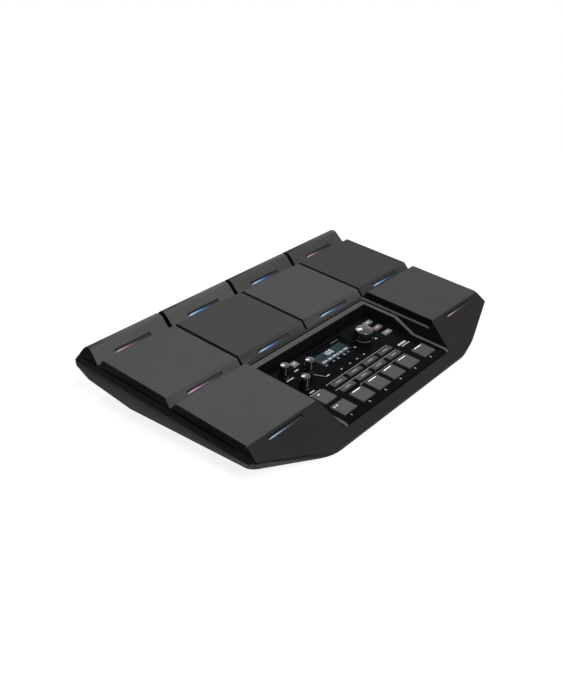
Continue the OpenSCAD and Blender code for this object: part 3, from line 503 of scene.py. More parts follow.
def softened(node, width, apart=None, apart_width=0.0, painted_shade=None, in_painted_shade=None, join_flats=True):
    """A copy of a CAD node with its long sharp edges rounded.

    Edges that apart picks get their own width, and the faces that the last pair of arguments picks get a second
    material, a near black that paints shade on them.
    """
    work = joined_copy(node, join_flats)
    wide = []
    fine = []
    for edge in work.edges:
        middle = (edge.verts[0].co + edge.verts[1].co) / 2
        if apart and apart(np.array(middle)):
            if apart_width and roundable(edge, apart_width):
                fine.append(edge)
        elif roundable(edge, width):
            wide.append(edge)
    for edges, offset in ((fine, apart_width), (wide, width)):
        edges = [edge for edge in edges if edge.is_valid]
        if edges:
            bmesh.ops.bevel(work, geom=edges, offset=offset, offset_type="OFFSET", segments=ROUND_SEGMENTS,
                            profile=0.5, affect="EDGES", clamp_overlap=False)
    name = node + "_shell"
    mesh = bpy.data.meshes.new(name)
    work.to_mesh(mesh)
    work.free()
    mesh.polygons.foreach_set("use_smooth", np.ones(len(mesh.polygons), bool))
    mesh.set_sharp_from_angle(angle=SHELL_SMOOTH_UNDER)
    mesh.materials.append(finish_of(node))
    # Picked faces get the near black second material: painted shade
    if painted_shade:
        mesh.materials.append(painted_shade)
        facing = np.empty(len(mesh.polygons) * 3)
        middles = np.empty(len(mesh.polygons) * 3)
        mesh.polygons.foreach_get("normal", facing)
        mesh.polygons.foreach_get("center", middles)
        chosen = in_painted_shade((middles.reshape(-1, 3) - PANEL) @ AXES.T / MM, facing.reshape(-1, 3) @ AXES.T)
        mesh.polygons.foreach_set("material_index", chosen.astype(np.int32))
    piece = bpy.data.objects.new(name, mesh)
    bpy.context.scene.collection.objects.link(piece)
    level = piece.modifiers.new("flat faces stay flat", "WEIGHTED_NORMAL")
    level.keep_sharp = True
    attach(piece, BODY_OF[node])
    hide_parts(node)


# Camera, at the photograph's place and angle, and the stage

PHOTO_LONG_SIDE = 700
FOCAL_PIXELS = 886.1
SENSOR = 36.0
NEAR_CLIP = 0.01
CAMERA_AT = Vector((-0.6766, -0.5238, 0.4951))
YAW = math.radians(39.49)
PITCH = math.radians(29.23)
looking = Vector((math.cos(PITCH) * math.cos(YAW), math.cos(PITCH) * math.sin(YAW), -math.sin(PITCH)))
camera_data = bpy.data.cameras.new("camera")
camera_data.sensor_width = SENSOR
camera_data.lens = SENSOR * FOCAL_PIXELS / PHOTO_LONG_SIDE
camera_data.clip_start = NEAR_CLIP
camera = bpy.data.objects.new("camera", camera_data)
camera.location = CAMERA_AT
camera.rotation_euler = looking.to_track_quat("-Z", "Y").to_euler()
bpy.context.scene.collection.objects.link(camera)
bpy.context.scene.camera = camera
bpy.context.scene.view_settings.view_transform = "Standard"

FLOOR_HALF = 0.95
FLOOR_DROP = 0.0003
FLOOR_GLOW = 0.86
FLOOR_PAINT = 0.3
FLOOR_BOUNCE = 0.55


def background_rays(tree):
    """One for rays from the camera, off gloss and through glass, which see the white, else zero."""
    path = tree.nodes.new("ShaderNodeLightPath")
    seen = path.outputs["Is Camera Ray"]
    for kind in ("Is Glossy Ray", "Is Transmission Ray"):
        either = tree.nodes.new("ShaderNodeMath")
        either.operation = "MAXIMUM"
        tree.links.new(seen, either.inputs[0])
        tree.links.new(path.outputs[kind], either.inputs[1])
        seen = either.outputs[0]
    return seen


def floor_paint():
    """White sweep: mostly its own white where it is seen, partly lit so that the shadow shows."""
    made = bpy.data.materials.new("white_sweep")
    made.use_nodes = True
    tree = made.node_tree
    tree.nodes.clear()
    out = tree.nodes.new("ShaderNodeOutputMaterial")
    plain = add_node(tree, "ShaderNodeBsdfDiffuse", Color=(FLOOR_BOUNCE, FLOOR_BOUNCE, FLOOR_BOUNCE, 1))
    seen = add_node(tree, "ShaderNodeBsdfDiffuse", Color=(FLOOR_PAINT, FLOOR_PAINT, FLOOR_PAINT, 1))
    glow = add_node(tree, "ShaderNodeEmission", Color=(1, 1, 1, 1), Strength=FLOOR_GLOW)
    both = tree.nodes.new("ShaderNodeAddShader")
    tree.links.new(seen.outputs[0], both.inputs[0])
    tree.links.new(glow.outputs[0], both.inputs[1])
    choice = tree.nodes.new("ShaderNodeMixShader")
    tree.links.new(background_rays(tree), choice.inputs["Fac"])
    tree.links.new(plain.outputs[0], choice.inputs[1])
    tree.links.new(both.outputs[0], choice.inputs[2])
    tree.links.new(choice.outputs[0], out.inputs["Surface"])
    return made


floor_mesh = bpy.data.meshes.new("floor")
floor_corners = np.array([[-1, -1, 0], [1, -1, 0], [1, 1, 0], [-1, 1, 0]]) * FLOOR_HALF - [0, 0, FLOOR_DROP]
floor_mesh.from_pydata(floor_corners.tolist(), [], [[0, 1, 2, 3]])
floor_mesh.materials.append(floor_paint())
floor = bpy.data.objects.new("floor", floor_mesh)
bpy.context.scene.collection.objects.link(floor)

WORLD_FILL = 0.02
world = bpy.data.worlds.new("studio")
bpy.context.scene.world = world
world.use_nodes = True
sky = world.node_tree
sky.nodes.clear()
sky_out = sky.nodes.new("ShaderNodeOutputWorld")
sky_white = add_node(sky, "ShaderNodeBackground", Color=(1, 1, 1, 1), Strength=1.0)
sky_fill = add_node(sky, "ShaderNodeBackground", Color=(0.95, 0.97, 1.0, 1), Strength=WORLD_FILL)
sky_choice = sky.nodes.new("ShaderNodeMixShader")
sky.links.new(background_rays(sky), sky_choice.inputs["Fac"])
sky.links.new(sky_fill.outputs[0], sky_choice.inputs[1])
sky.links.new(sky_white.outputs[0], sky_choice.inputs[2])
sky.links.new(sky_choice.outputs[0], sky_out.inputs["Surface"])


def softbox(name, at, aim, size, power, colour=(1.0, 1.0, 1.0)):
    """A rectangular soft lamp at a place, aimed at a point."""
    lamp = bpy.data.lights.new(name, "AREA")
    lamp.shape = "RECTANGLE"
    lamp.size, lamp.size_y = size
    lamp.energy = power
    lamp.color = colour
    made = bpy.data.objects.new(name, lamp)
    made.location = at
    made.rotation_euler = (Vector(aim) - Vector(at)).to_track_quat("-Z", "Y").to_euler()
    bpy.context.scene.collection.objects.link(made)


softbox("key", at=(-0.4, -1.05, 1.3), aim=(0.0, 0.0, 0.0), size=(0.7, 0.7), power=23.0,
        colour=(1.0, 0.995, 0.985))
softbox("rear_right", at=(0.74, 0.78, 1.28), aim=(0.05, 0.0, 0.03), size=(0.5, 0.5), power=8.0,
        colour=(0.98, 0.99, 1.0))
softbox("rear_fill", at=(0.25, 1.5, 0.55), aim=(0.0, 0.13, 0.03), size=(0.9, 0.6), power=5.0)

# Moulded shells: CAD nodes with their edges rounded

PAD_ROUND = 0.6 * MM
SLOT_ROUND = 0.25 * MM
TOP_CASE_ROUND = 0.5 * MM
BOTTOM_CASE_ROUND = 0.8 * MM
BEZEL_ROUND = 0.4 * MM
BUTTON_ROUND = 0.45 * MM
SOCKET_ROUND = 0.25 * MM
SLOT_HALF = 24.6
SLOT_LOW = -8.2
SLOT_HIGH = -1.9
PANEL_TO_DECK = 20.0
PANEL_TO_DECK_BACK = 217.337
COLUMN_MIDDLE = [float(np.mean([corner[0] for corner in panel_box(f"mid_pad_{k}")])) for k in range(1, 5)]


def on_deck(points):
    """Places in millimetres across, back from the deck's rear and out of the deck, in metres."""
    return on_panel(np.asarray(points, float) + [0.0, PANEL_TO_DECK_BACK, PANEL_TO_DECK])


def in_light_slot(middle):
    """True for an edge round the slot that lets a pad's light through."""
    across, _, out = (middle - PANEL) @ AXES.T / MM
    near = min(abs(across - place) for place in COLUMN_MIDDLE)
    return near < SLOT_HALF and SLOT_LOW < out - PANEL_TO_DECK < SLOT_HIGH


SIDEWAYS_OVER = 0.3


def sideways(middles, facing):
    """Faces that look to the left or the right."""
    return np.abs(facing[:, 0]) > SIDEWAYS_OVER


PADS = [node for node in frame["nodes"] if SLOT_OF[node] == "pad_rubber"]
# Each pad's sideways faces take the near black, painted shade
for node in PADS:
    softened(node, PAD_ROUND, apart=in_light_slot, apart_width=SLOT_ROUND,
             painted_shade=PAD_SIDE_PAINTED_SHADE, in_painted_shade=sideways)
RECESS_HALF = 106.0
RECESS_FRONT = -0.6
RECESS_BACK = 122.4
LEDGE_FROM = 203.0
LEDGE_UNDER = 12.0
APRON_BACK = 29.4
WALL_UNDER = 0.5


def upright(middles, facing):
    """Faces that stand up from the panel."""
    return facing[:, 2] < WALL_UNDER


def recess_sides(middles, facing):
    """Faces that take painted shade: upright faces round the panel's recess, the case's outer sides and the ledges
    beside the pads.
    """
    across, back, out = middles.T
    inside = (np.abs(across) < RECESS_HALF) & (back > RECESS_FRONT) & (back < RECESS_BACK)
    ledge = (np.abs(across) > LEDGE_FROM) & (back > APRON_BACK) & (out < LEDGE_UNDER)
    return inside & upright(middles, facing) | sideways(middles, facing) | ledge


# The case's recess walls, outer sides and side ledges, and below it the bezel's walls, take the near black,
# painted shade
softened("top_case", TOP_CASE_ROUND, painted_shade=RECESS_PAINTED_SHADE, in_painted_shade=recess_sides, join_flats=False)
softened("bottom_case", BOTTOM_CASE_ROUND, join_flats=False)
softened("panel_bezel", BEZEL_ROUND, painted_shade=RECESS_PAINTED_SHADE, in_painted_shade=upright, join_flats=False)
BUTTONS = [node for node in frame["nodes"] if SLOT_OF[node] == "button"]
for node in BUTTONS + ["power_button"]:
    softened(node, BUTTON_ROUND)
for node in ("audio_jacks", "usb_socket", "power_inlet"):
    softened(node, SOCKET_ROUND)

# Light guides behind the pads' slots

GUIDE_HALF = 24.0
GUIDE_STEPS = 49
GUIDE_DEEP = 3.0
GUIDE_INSET = 0.4
WINDOW_STEPS = 9
DARK_CORNERS = 4
DARK_EDGE = 0.05
SLOT_LEVELS = (-5.6, -4.2)
APRON_BACKS = (-194.38, -192.98)
# The lit spindle in each window: painted light that fades to the right, with painted shadow above it
LIT_SOFT = 0.35
LIT_AT = np.array([0.0, 0.1, 0.3, 0.6, 1.0])
LIT_UP = np.array([0.4, 0.75, 0.8, 0.5, 0.0])
PAINTED_FADE_AT = np.array([0.0, 0.12, 0.35, 0.6, 0.8, 1.0])
# Colours of the bars' light at the places of the fade: the lamps' own hues, painted from near white at the left
# end to dark at the right
BLUE = np.array([[0.40, 0.50, 0.85], [0.50, 0.80, 1.0], [0.09, 0.38, 0.95], [0.012, 0.11, 0.55],
                 [0.004, 0.03, 0.18], [0.003, 0.004, 0.01]])
PINK = np.array([[0.50, 0.36, 0.42], [0.62, 0.40, 0.48], [0.30, 0.11, 0.17], [0.09, 0.05, 0.09],
                 [0.02, 0.015, 0.03], [0.003, 0.003, 0.004]])
VIOLET = np.array([[0.55, 0.42, 0.52], [0.72, 0.42, 0.60], [0.42, 0.16, 0.34], [0.12, 0.08, 0.26],
                   [0.03, 0.02, 0.07], [0.003, 0.003, 0.006]])
PALE = np.array([[0.30, 0.42, 0.55], [0.45, 0.60, 0.75], [0.20, 0.33, 0.50], [0.06, 0.10, 0.18],
                 [0.015, 0.02, 0.04], [0.003, 0.003, 0.006]])
MID_EDGE_BACK = -88.0
MID_LEAN = 0.9
REAR_FOOT_BACK = 6.0
REAR_FOOT_OUT = -8.0
REAR_SLOPE_RUN = 18.2
REAR_SLOPE_RISE = 17.4
APRON_EDGE_BACK = -188.98
APRON_FALL = 0.6677


def mid_face(out):
    """How far back the middle pads' light lies behind their front slope, at a height out of the deck."""
    return MID_EDGE_BACK + MID_LEAN * out + GUIDE_INSET


def rear_face(out):
    """How far back the rear pads' light lies behind their front slope, at a height out of the deck."""
    return REAR_FOOT_BACK + (out - REAR_FOOT_OUT) * REAR_SLOPE_RUN / REAR_SLOPE_RISE + GUIDE_INSET


def apron_face(back):
    """How far out the front lights lie under the apron, at a place back from the deck's rear."""
    return (back - APRON_EDGE_BACK) * APRON_FALL - GUIDE_INSET


def slope_section(face):
    """Section of a bar behind a sloping face, back and out: its window up the slope, then its dark sides."""
    low, high = SLOT_LEVELS
    out = np.linspace(low, high, WINDOW_STEPS)
    rear = face(low) + GUIDE_DEEP
    sides = [[face(high) + DARK_EDGE, high], [rear, high], [rear, low], [face(low) + DARK_EDGE, low]]
    return np.concatenate([np.column_stack([face(out), out]), sides])


def apron_section():
    """Section of a bar under the apron, back and out: its window along the apron, then its dark sides."""
    low, high = APRON_BACKS
    back = np.linspace(low, high, WINDOW_STEPS)
    floor_out = apron_face(low) - GUIDE_DEEP
    sides = [[high, apron_face(high) - DARK_EDGE], [high, floor_out],
             [low, floor_out], [low, apron_face(low) - DARK_EDGE]]
    return np.concatenate([np.column_stack([back, apron_face(back)]), sides])


def guide(middle, section):
    """A bar: its section, back and out, repeated in even steps across."""
    points = np.empty((GUIDE_STEPS, len(section), 3))
    points[:, :, 0] = middle + np.linspace(-GUIDE_HALF, GUIDE_HALF, GUIDE_STEPS)[:, None]
    points[:, :, 1:] = section
    return points


def painted_falloff(colours):
    """Light of a bar: its own colours at the places of the fade, joined by straight lines, painted to fade to the
    right, on a spindle.

    The spindle narrows to the right: it covers the window from its lower edge up to the share LIT_UP of its
    height at the places LIT_AT; the unlit part above it is painted shadow from the slot's edge.
    """
    t = np.linspace(0, 1, GUIDE_STEPS)[:, None]
    up = np.linspace(0, 1, WINDOW_STEPS)[None, :]
    lit = np.clip((np.interp(t, LIT_AT, LIT_UP) - up) / LIT_SOFT, 0, 1)
    lit = np.concatenate([lit, np.zeros((GUIDE_STEPS, DARK_CORNERS))], 1)
    channels = [np.interp(t[:, 0], PAINTED_FADE_AT, channel) for channel in colours.T]
    light = np.stack(channels + [np.ones(GUIDE_STEPS)], -1)
    return light[:, None] * lit[..., None]


guide_rows = [(COLUMN_MIDDLE, slope_section(rear_face), [PINK, BLUE, BLUE, PINK]),
              (COLUMN_MIDDLE, slope_section(mid_face), [VIOLET, BLUE, BLUE, BLUE]),
              ([COLUMN_MIDDLE[0], COLUMN_MIDDLE[3]], apron_section(), [PALE, PINK])]
guide_points = np.stack([guide(middle, section) for middles, section, _ in guide_rows for middle in middles])
guide_light = np.stack([painted_falloff(colours) for _, _, row in guide_rows for colours in row])
corners = WINDOW_STEPS + DARK_CORNERS
guide_faces = repeated(quads(GUIDE_STEPS, corners, True), corners * GUIDE_STEPS, len(guide_points)).tolist()
end_ring = np.arange(corners)
for count in range(len(guide_points)):
    first = count * corners * GUIDE_STEPS
    guide_faces.append((first + end_ring[::-1]).tolist())
    guide_faces.append((first + corners * (GUIDE_STEPS - 1) + end_ring).tolist())
new_piece("light_guides", on_deck(guide_points), guide_faces, FINISHES["light_bar"],
          stands_for=["light_bars"], glow=guide_light)

# Knobs and the dial, turned on their joints' axes

# Profiles are radius and height in millimetres
KNOB_STEPS = 144
KNOB_FLUTES = 24
KNOB_FLUTE_DEEP = 0.22
KNOB_GRIP = (4.2, 14.0)
KNOB_CORNERS = [(0, 0.5), (5.6, 0.5), (5.6, 2.6), (5.2, 3.4), (5.0, 15.4), (4.6, 16.1)]
KNOB_ROUNDS = [0.3, 0.4, 0.4, 0.4]
KNOB_TOP = 16.8
KNOB_DOME = 16.0
POINTER_ANGLE = math.radians(240)
POINTER_LOW = 4.4
POINTER_HIGH = 14.4
POINTER_RADIUS = 4.95
POINTER_WIDE = 0.4
POINTER_THICK = 0.2
DIAL_STEPS = 240
DIAL_FLUTES = 48
DIAL_FLUTE_DEEP = 0.3
DIAL_GRIP = (3.6, 11.8)
DIAL_CORNERS = [(0, 0.5), (11.0, 0.5), (11.0, 2.4), (10.5, 3.2), (10.3, 12.3), (10.0, 13.0), (8.8, 13.8)]
DIAL_ROUNDS = [0.3, 0.3, 0.3, 0.4, 0.5]
DIAL_TOP = 15.45
DIAL_DOME = 24.0
DOME_STEPS = 24
DIMPLE_AT = np.array([4.4, 2.4])
DIMPLE_ROUND = 3.2
DIMPLE_DEEP = 1.1
DIMPLE_OVER = 12.6


def domed(corners, radii, top, dome):
    """A turned profile that ends in a dome: a circular arc of radius dome up to the axis at height top."""
    edge = math.asin(corners[-1][0] / dome)
    angle = np.linspace(edge, 0, DOME_STEPS)
    cap = np.column_stack([dome * np.sin(angle), top - dome * (1 - np.cos(angle))])
    return np.concatenate([rounded(corners, radii), cap])


def pointer_strip():
    """A pointer: a thin block standing on the knob's side, turned round its axis by POINTER_ANGLE."""
    points, faces = slabs([[POINTER_RADIUS - POINTER_THICK, POINTER_RADIUS + POINTER_THICK,
                            -POINTER_WIDE / 2, POINTER_WIDE / 2, POINTER_LOW, POINTER_HIGH]])
    turn = np.array([[math.cos(POINTER_ANGLE), math.sin(POINTER_ANGLE), 0],
                     [-math.sin(POINTER_ANGLE), math.cos(POINTER_ANGLE), 0], [0, 0, 1]])
    return points @ turn, faces


def dial_shape():
    """The dial: a fluted turned shape whose top sinks by a bell curve round the finger's place."""
    profile = domed(DIAL_CORNERS, DIAL_ROUNDS, DIAL_TOP, DIAL_DOME)
    points, faces = turned(profile, DIAL_STEPS, DIAL_FLUTES, DIAL_FLUTE_DEEP, DIAL_GRIP)
    away = np.linalg.norm(points[..., :2] - DIMPLE_AT, axis=-1) / DIMPLE_ROUND
    points[..., 2] -= np.where(points[..., 2] > DIMPLE_OVER, DIMPLE_DEEP * np.exp(-away ** 2), 0.0)
    return points, faces


knob_profile = domed(KNOB_CORNERS, KNOB_ROUNDS, KNOB_TOP, KNOB_DOME)
knob_points, knob_faces = turned(knob_profile, KNOB_STEPS, KNOB_FLUTES, KNOB_FLUTE_DEEP, KNOB_GRIP)
pointer_points, pointer_faces = pointer_strip()
for knob in ("knob_1", "knob_2", "knob_3"):
    place = np.append(pivot(knob + "_turn"), 0.0)
    new_piece(knob + "_turned", on_panel(knob_points + place), knob_faces, FINISHES["knob"], knob,
              stands_for=[knob])
    new_piece(knob + "_pointer", on_panel(pointer_points + place), pointer_faces, GREY_INK, knob)
dial_points, dial_faces = dial_shape()
place = np.append(pivot("dial_turn"), 0.0)
new_piece("dial_turned", on_panel(dial_points + place), dial_faces, FINISHES["knob"], "dial",
          stands_for=["dial"])

# Printing on the panel, the buttons and the display

INK_LOW = -0.05
INK_HIGH = 0.06
FIGURE_WIDE = 0.55
FIGURE_STEP = 0.82
# The strokes of each figure, lettered clockwise from the top, with g across the middle
STROKES = {"0": "abcdef", "1": "bc", "2": "abged", "3": "abgcd", "4": "fgbc", "5": "afgcd", "6": "afgedc",
           "7": "abc", "8": "abcdefg", "9": "abcdfg"}


def number_boxes(text, left, base, height, stroke, low=INK_LOW, high=INK_HIGH):
    """Plain numbers of straight strokes: rows of lowest and highest across, back and out for each stroke."""
    wide = FIGURE_WIDE * height
    middle = height / 2
    cell = {"a": (0, wide, height - stroke, height), "b": (wide - stroke, wide, middle, height),
            "c": (wide - stroke, wide, 0, middle), "d": (0, wide, 0, stroke), "e": (0, stroke, 0, middle),
            "f": (0, stroke, middle, height), "g": (0, wide, middle - stroke / 2, middle + stroke / 2)}
    rows = []
    for count, figure in enumerate(text):
        start = left + count * FIGURE_STEP * height
        for name in STROKES[figure]:
            x0, x1, y0, y1 = cell[name]
            rows.append([start + x0, start + x1, base + y0, base + y1, low, high])
    return rows


def dashes(middle, back, count, size, step):
    """A row of short blocks, a step apart and centred on a middle."""
    wide, deep = size
    first = middle - step * (count - 1) / 2
    places = [first + k * step for k in range(count)]
    return [[place - wide / 2, place + wide / 2, back - deep / 2, back + deep / 2, INK_LOW, INK_HIGH]
            for place in places]


def line(left, right, back, thick):
    """A thin printed line across the panel, as one block."""
    return [left, right, back - thick / 2, back + thick / 2, INK_LOW, INK_HIGH]


# Printed lines: left and right end, back and thickness
LINES = [(-56.5, 54.0, 51.2, 0.6), (-56.5, 54.0, 39.0, 0.6), (-30.0, 54.0, 27.6, 0.4)]
# Rows of blocks: middle, back, how many, width and depth of a block, and the step between blocks
OVER_DISPLAY = (17.2, 96.2, 5, (1.8, 0.7), 2.6)
PANEL_ROWS = [(-56.5, 89.6, 4, (1.2, 1.5), 1.6), (-39.6, 61.0, 4, (1.0, 1.4), 1.4),
              (-74.0, 83.6, 7, (1.2, 1.4), 1.6), (-75.0, 54.6, 5, (1.2, 1.4), 1.6),
              (-74.0, 51.0, 6, (2.0, 0.6), 3.0), (70.0, 41.6, 6, (1.8, 2.6), 2.4),
              (72.0, 37.6, 9, (1.2, 1.2), 1.6)]
# Rows that repeat: the same without the middle, which is listed apart
LEGEND = (58.2, 2, (0.9, 1.2), 1.5)
UNDER_DISPLAY = (73.2, 3, (0.4, 1.6), 1.3)
BRACKET_TOP = (73.9, 1, (2.6, 0.4), 1.0)
BRACKET_SIDES = (72.5, 2, (0.4, 1.6), 2.2)
LEGENDS_AT = (-20.0, -4.7, 8.2, 21.0)
UNDER_DISPLAY_AT = (-26.0, -13.4, 12.4, 25.2)
BRACKETS_AT = (-5.4, 5.3)
NUMBER_LEFT = 4.6
NUMBER_BACK = 2.6
NUMBER_HEIGHT = 2.4
NUMBER_STROKE = 0.5
rules = [line(*row) for row in LINES] + dashes(*OVER_DISPLAY)
points, faces = slabs(rules)
new_piece("panel_rules", on_panel(points), faces, GREY_INK)
prints = []
FRONT_BUTTONS = [f"front_button_{k}" for k in range(1, 7)]
for count, node in enumerate(FRONT_BUTTONS):
    low, high = panel_box(node)
    left = (low[0] + high[0]) / 2 - NUMBER_LEFT
    prints += number_boxes(str(count + 1), left, NUMBER_BACK, NUMBER_HEIGHT, NUMBER_STROKE)
for row in PANEL_ROWS:
    prints += dashes(*row)
for middle in LEGENDS_AT:
    prints += dashes(middle, *LEGEND)
for middle in UNDER_DISPLAY_AT:
    prints += dashes(middle, *UNDER_DISPLAY)
for middle in BRACKETS_AT:
    prints += dashes(middle, *BRACKET_TOP) + dashes(middle, *BRACKET_SIDES)
points, faces = slabs(prints)
new_piece("panel_print", on_panel(points), faces, WHITE_INK)


def prism(outline, low, high):
    """A flat shape given by its outline, with straight sides from a low to a high level."""
    outline = np.asarray(outline, float)
    count = len(outline)
    points = np.concatenate([np.column_stack([outline, np.full(count, level)]) for level in (low, high)])
    ring = np.arange(count)
    after = (ring + 1) % count
    sides = np.stack([ring, after, after + count, ring + count], -1).tolist()
    return points, sides + [ring[::-1].tolist(), (ring + count).tolist()]


LEDGE_OUT = 11.0
LEDGE_FRONT = 29.0
LEDGE_BACK = 122.0
LEDGE_HALF = 106.3
RECESS_PAST_BEZEL = 2.0
_, bezel_reach = panel_box("panel_bezel")
inner_half = bezel_reach[0] + RECESS_PAST_BEZEL
inner_back = bezel_reach[1] + RECESS_PAST_BEZEL
ledge_outline = [(-LEDGE_HALF, LEDGE_FRONT), (-inner_half, LEDGE_FRONT), (-inner_half, inner_back),
                 (inner_half, inner_back), (inner_half, LEDGE_FRONT), (LEDGE_HALF, LEDGE_FRONT),
                 (LEDGE_HALF, LEDGE_BACK), (-LEDGE_HALF, LEDGE_BACK)]
points, faces = prism(ledge_outline, LEDGE_OUT + INK_LOW, LEDGE_OUT + INK_HIGH)
new_piece("ledge_trim", on_panel(points), faces, FINISHES["bezel"])
# Outlines of a line and a mark on the panel, across and back
LEADER = [(-49.7, 72.6), (-49.1, 72.8), (-42.6, 61.2), (-43.2, 61.0)]
DIAL_WEDGE = [(54.6, 66.4), (59.6, 66.4), (57.1, 69.4)]
for name, outline in (("leader_line", LEADER), ("dial_mark", DIAL_WEDGE)):
    points, faces = prism(outline, INK_LOW, INK_HIGH)
    new_piece(name, on_panel(points), faces, GREY_INK)


def button_print(node, boxes, material=WHITE_INK):
    """Printing on a button's top, given about the middle of that top, that travels with the button."""
    low, high = panel_box(node)
    top = np.array([(low[0] + high[0]) / 2, (low[1] + high[1]) / 2, high[2]])
    points, faces = slabs(boxes)
    new_piece(node + "_print", on_panel(points + top), faces, material, node)


# Lamp window of a front button: lowest and highest across, back and out, about the middle of its top
LAMP = [[-6.4, 6.4, 7.0, 8.0, INK_LOW, INK_HIGH]]
# Rows of blocks on the buttons, about the middle of each top
FIRST_BUTTON_MARK = (-5.6, 5.6, 2, (2.2, 2.0), 4.2)
CORNER_MARK = (-2.4, 5.4, 1, (2.6, 2.2), 1.0)
ROW_MARK = (0.0, 0.0, 5, (1.2, 1.7), 1.7)
SQUARE_MARK = (0.0, 0.0, 2, (1.4, 2.0), 2.0)
SIDE_MARK = (0.0, 0.0, 3, (1.2, 1.6), 1.7)
for node in FRONT_BUTTONS[1:]:
    button_print(node, LAMP, BUTTON_LAMP)
button_print("front_button_1", dashes(*FIRST_BUTTON_MARK))
button_print("corner_button", dashes(*CORNER_MARK))
for k in range(1, 9):
    button_print(f"row_button_{k}", dashes(*ROW_MARK), GREY_INK)
button_print("square_button", dashes(*SQUARE_MARK))
for k in (1, 2, 3):
    button_print(f"side_button_{k}", dashes(*SIDE_MARK))

SCREEN_LOW = -1.67
SCREEN_HIGH = -1.6
# Numbers on the display: figures, left end, lower edge, height and stroke
SCREEN_ROWS = [("100", -9.4, 85.6, 6.0, 0.9), ("1234", -24.6, 78.6, 3.0, 0.5), ("567", -13.2, 78.6, 3.0, 0.5),
               ("89", -4.4, 78.6, 3.0, 0.5), ("0123", 2.2, 78.6, 3.0, 0.5), ("456", 13.6, 78.6, 3.0, 0.5)]
screen_marks = [box for row in SCREEN_ROWS for box in number_boxes(*row, SCREEN_LOW, SCREEN_HIGH)]
points, faces = slabs(screen_marks)
new_piece("screen_marks", on_panel(points), faces, SCREEN_MARK)

# Feet, screws, threaded inserts and nuts, set at the CAD solids' own middles

DOWNWARD = np.diag([1.0, -1.0, -1.0])
REARWARD = np.array([[-1.0, 0.0, 0.0], [0.0, 0.0, 1.0], [0.0, 1.0, 0.0]])


def loose_parts(node):
    """Lowest and highest corners, in millimetres, of each separate solid of a CAD node."""
    mesh = frame["nodes"][node].data
    flat = np.empty(len(mesh.vertices) * 3)
    mesh.vertices.foreach_get("co", flat)
    points, merged = np.unique(np.round(flat.reshape(-1, 3) / MM, 3), axis=0, return_inverse=True)
    mesh.calc_loop_triangles()
    corners = np.empty(len(mesh.loop_triangles) * 3, np.int32)
    mesh.loop_triangles.foreach_get("vertices", corners)
    corners = merged.ravel()[corners].reshape(-1, 3)
    label = np.arange(len(points))
    settled = False
    while not settled:
        least = label.copy()
        np.minimum.at(least, corners.ravel(), np.repeat(label[corners].min(1), 3))
        settled = np.array_equal(least, label)
        label = least
    groups = [points[label == value] for value in np.unique(label)]
    return [(group.min(0), group.max(0)) for group in groups]


def together(shapes):
    """Several shapes of points and faces as one list of points and one of faces."""
    counts = np.cumsum([0] + [points.size // 3 for points, _ in shapes[:-1]])
    points = np.concatenate([points.reshape(-1, 3) for points, _ in shapes])
    faces = []
    for (_, shape_faces), count in zip(shapes, counts):
        faces += [[int(corner + count) for corner in face] for face in shape_faces]
    return points, faces


def in_place_of(node, ending, shape, turn, axis):
    """A shape of the same length in place of each solid of a CAD node, set at its low end along an axis."""
    shapes = []
    for low, high in loose_parts(node):
        points, faces = shape(high[axis] - low[axis])
        place = (low + high) / 2
        place[axis] = low[axis]
        shapes.append((points @ turn + place, faces))
    points, faces = together(shapes)
    slot = SLOT_OF[node]
    new_piece(node + ending, in_body(points), faces, FINISHES[slot], stands_for=[node])


FOOT_CORNERS = [(0, 5.0), (8.8, 5.0), (9.0, 4.2), (9.0, 0.0), (6.6, 0.0), (6.1, 0.8), (0, 0.8)]
FOOT_ROUNDS = [0.2, 0.3, 1.0, 0.3, 0.3]
FOOT_STEPS = 72
feet = []
for low, high in loose_parts("feet"):
    points, faces = turned(rounded(FOOT_CORNERS, FOOT_ROUNDS), FOOT_STEPS)
    feet.append((points + [(low[0] + high[0]) / 2, (low[1] + high[1]) / 2, 0.0], faces))
points, faces = together(feet)
new_piece("feet_turned", in_body(points), faces, FINISHES["foot_rubber"], stands_for=["feet"])

HEAD_RADIUS = 3.2
HEAD_DEEP = 2.3
HEAD_FLAT = 2.4
HEAD_RINGS = 25
HEAD_ROUNDS = [0.7, 0.1, 0.1, 0.5]
SCREW_STEPS = 96
SHANK_RADIUS = 1.7
RECESS_REACH = 1.8
RECESS_HALF_WIDTH = 0.55
RECESS_DEEP = 1.3
RECESS_EASE = 0.2
FACE_OVER = -0.1


def screw(length):
    """Pan head screw, its head outwards: a turned shape whose face is pressed in over a cross.

    The press falls to nothing within RECESS_EASE of the cross's edge.
    """
    face = np.column_stack([np.linspace(0, HEAD_FLAT, HEAD_RINGS), np.zeros(HEAD_RINGS)])
    edge = rounded([(HEAD_FLAT, 0.0), (HEAD_RADIUS, 0.0), (HEAD_RADIUS, -HEAD_DEEP),
                    (SHANK_RADIUS, -HEAD_DEEP), (SHANK_RADIUS, -length), (0.0, -length)], HEAD_ROUNDS)
    points, faces = turned(np.concatenate([face, edge[1:]]), SCREW_STEPS)
    sides = np.abs(points[..., :2])
    within_width = np.clip((RECESS_HALF_WIDTH - sides.min(-1)) / RECESS_EASE, 0, 1)
    within_reach = np.clip((RECESS_REACH - sides.max(-1)) / RECESS_EASE, 0, 1)
    points[..., 2] -= RECESS_DEEP * (within_width * within_reach) * (points[..., 2] > FACE_OVER)
    return points, faces


in_place_of("case_screws", "_turned", screw, DOWNWARD, axis=2)

INSERT_BORE = 2.1
INSERT_RADIUS = 3.5
THREAD_PITCH = 0.7
THREAD_DEEP = 0.25
THREAD_STEPS = 100
THREAD_ENDS = 0.5
INSERT_MOUTH = 0.4
INSERT_ROUNDS = [0.2, 0.2]
INSERT_STEPS = 48


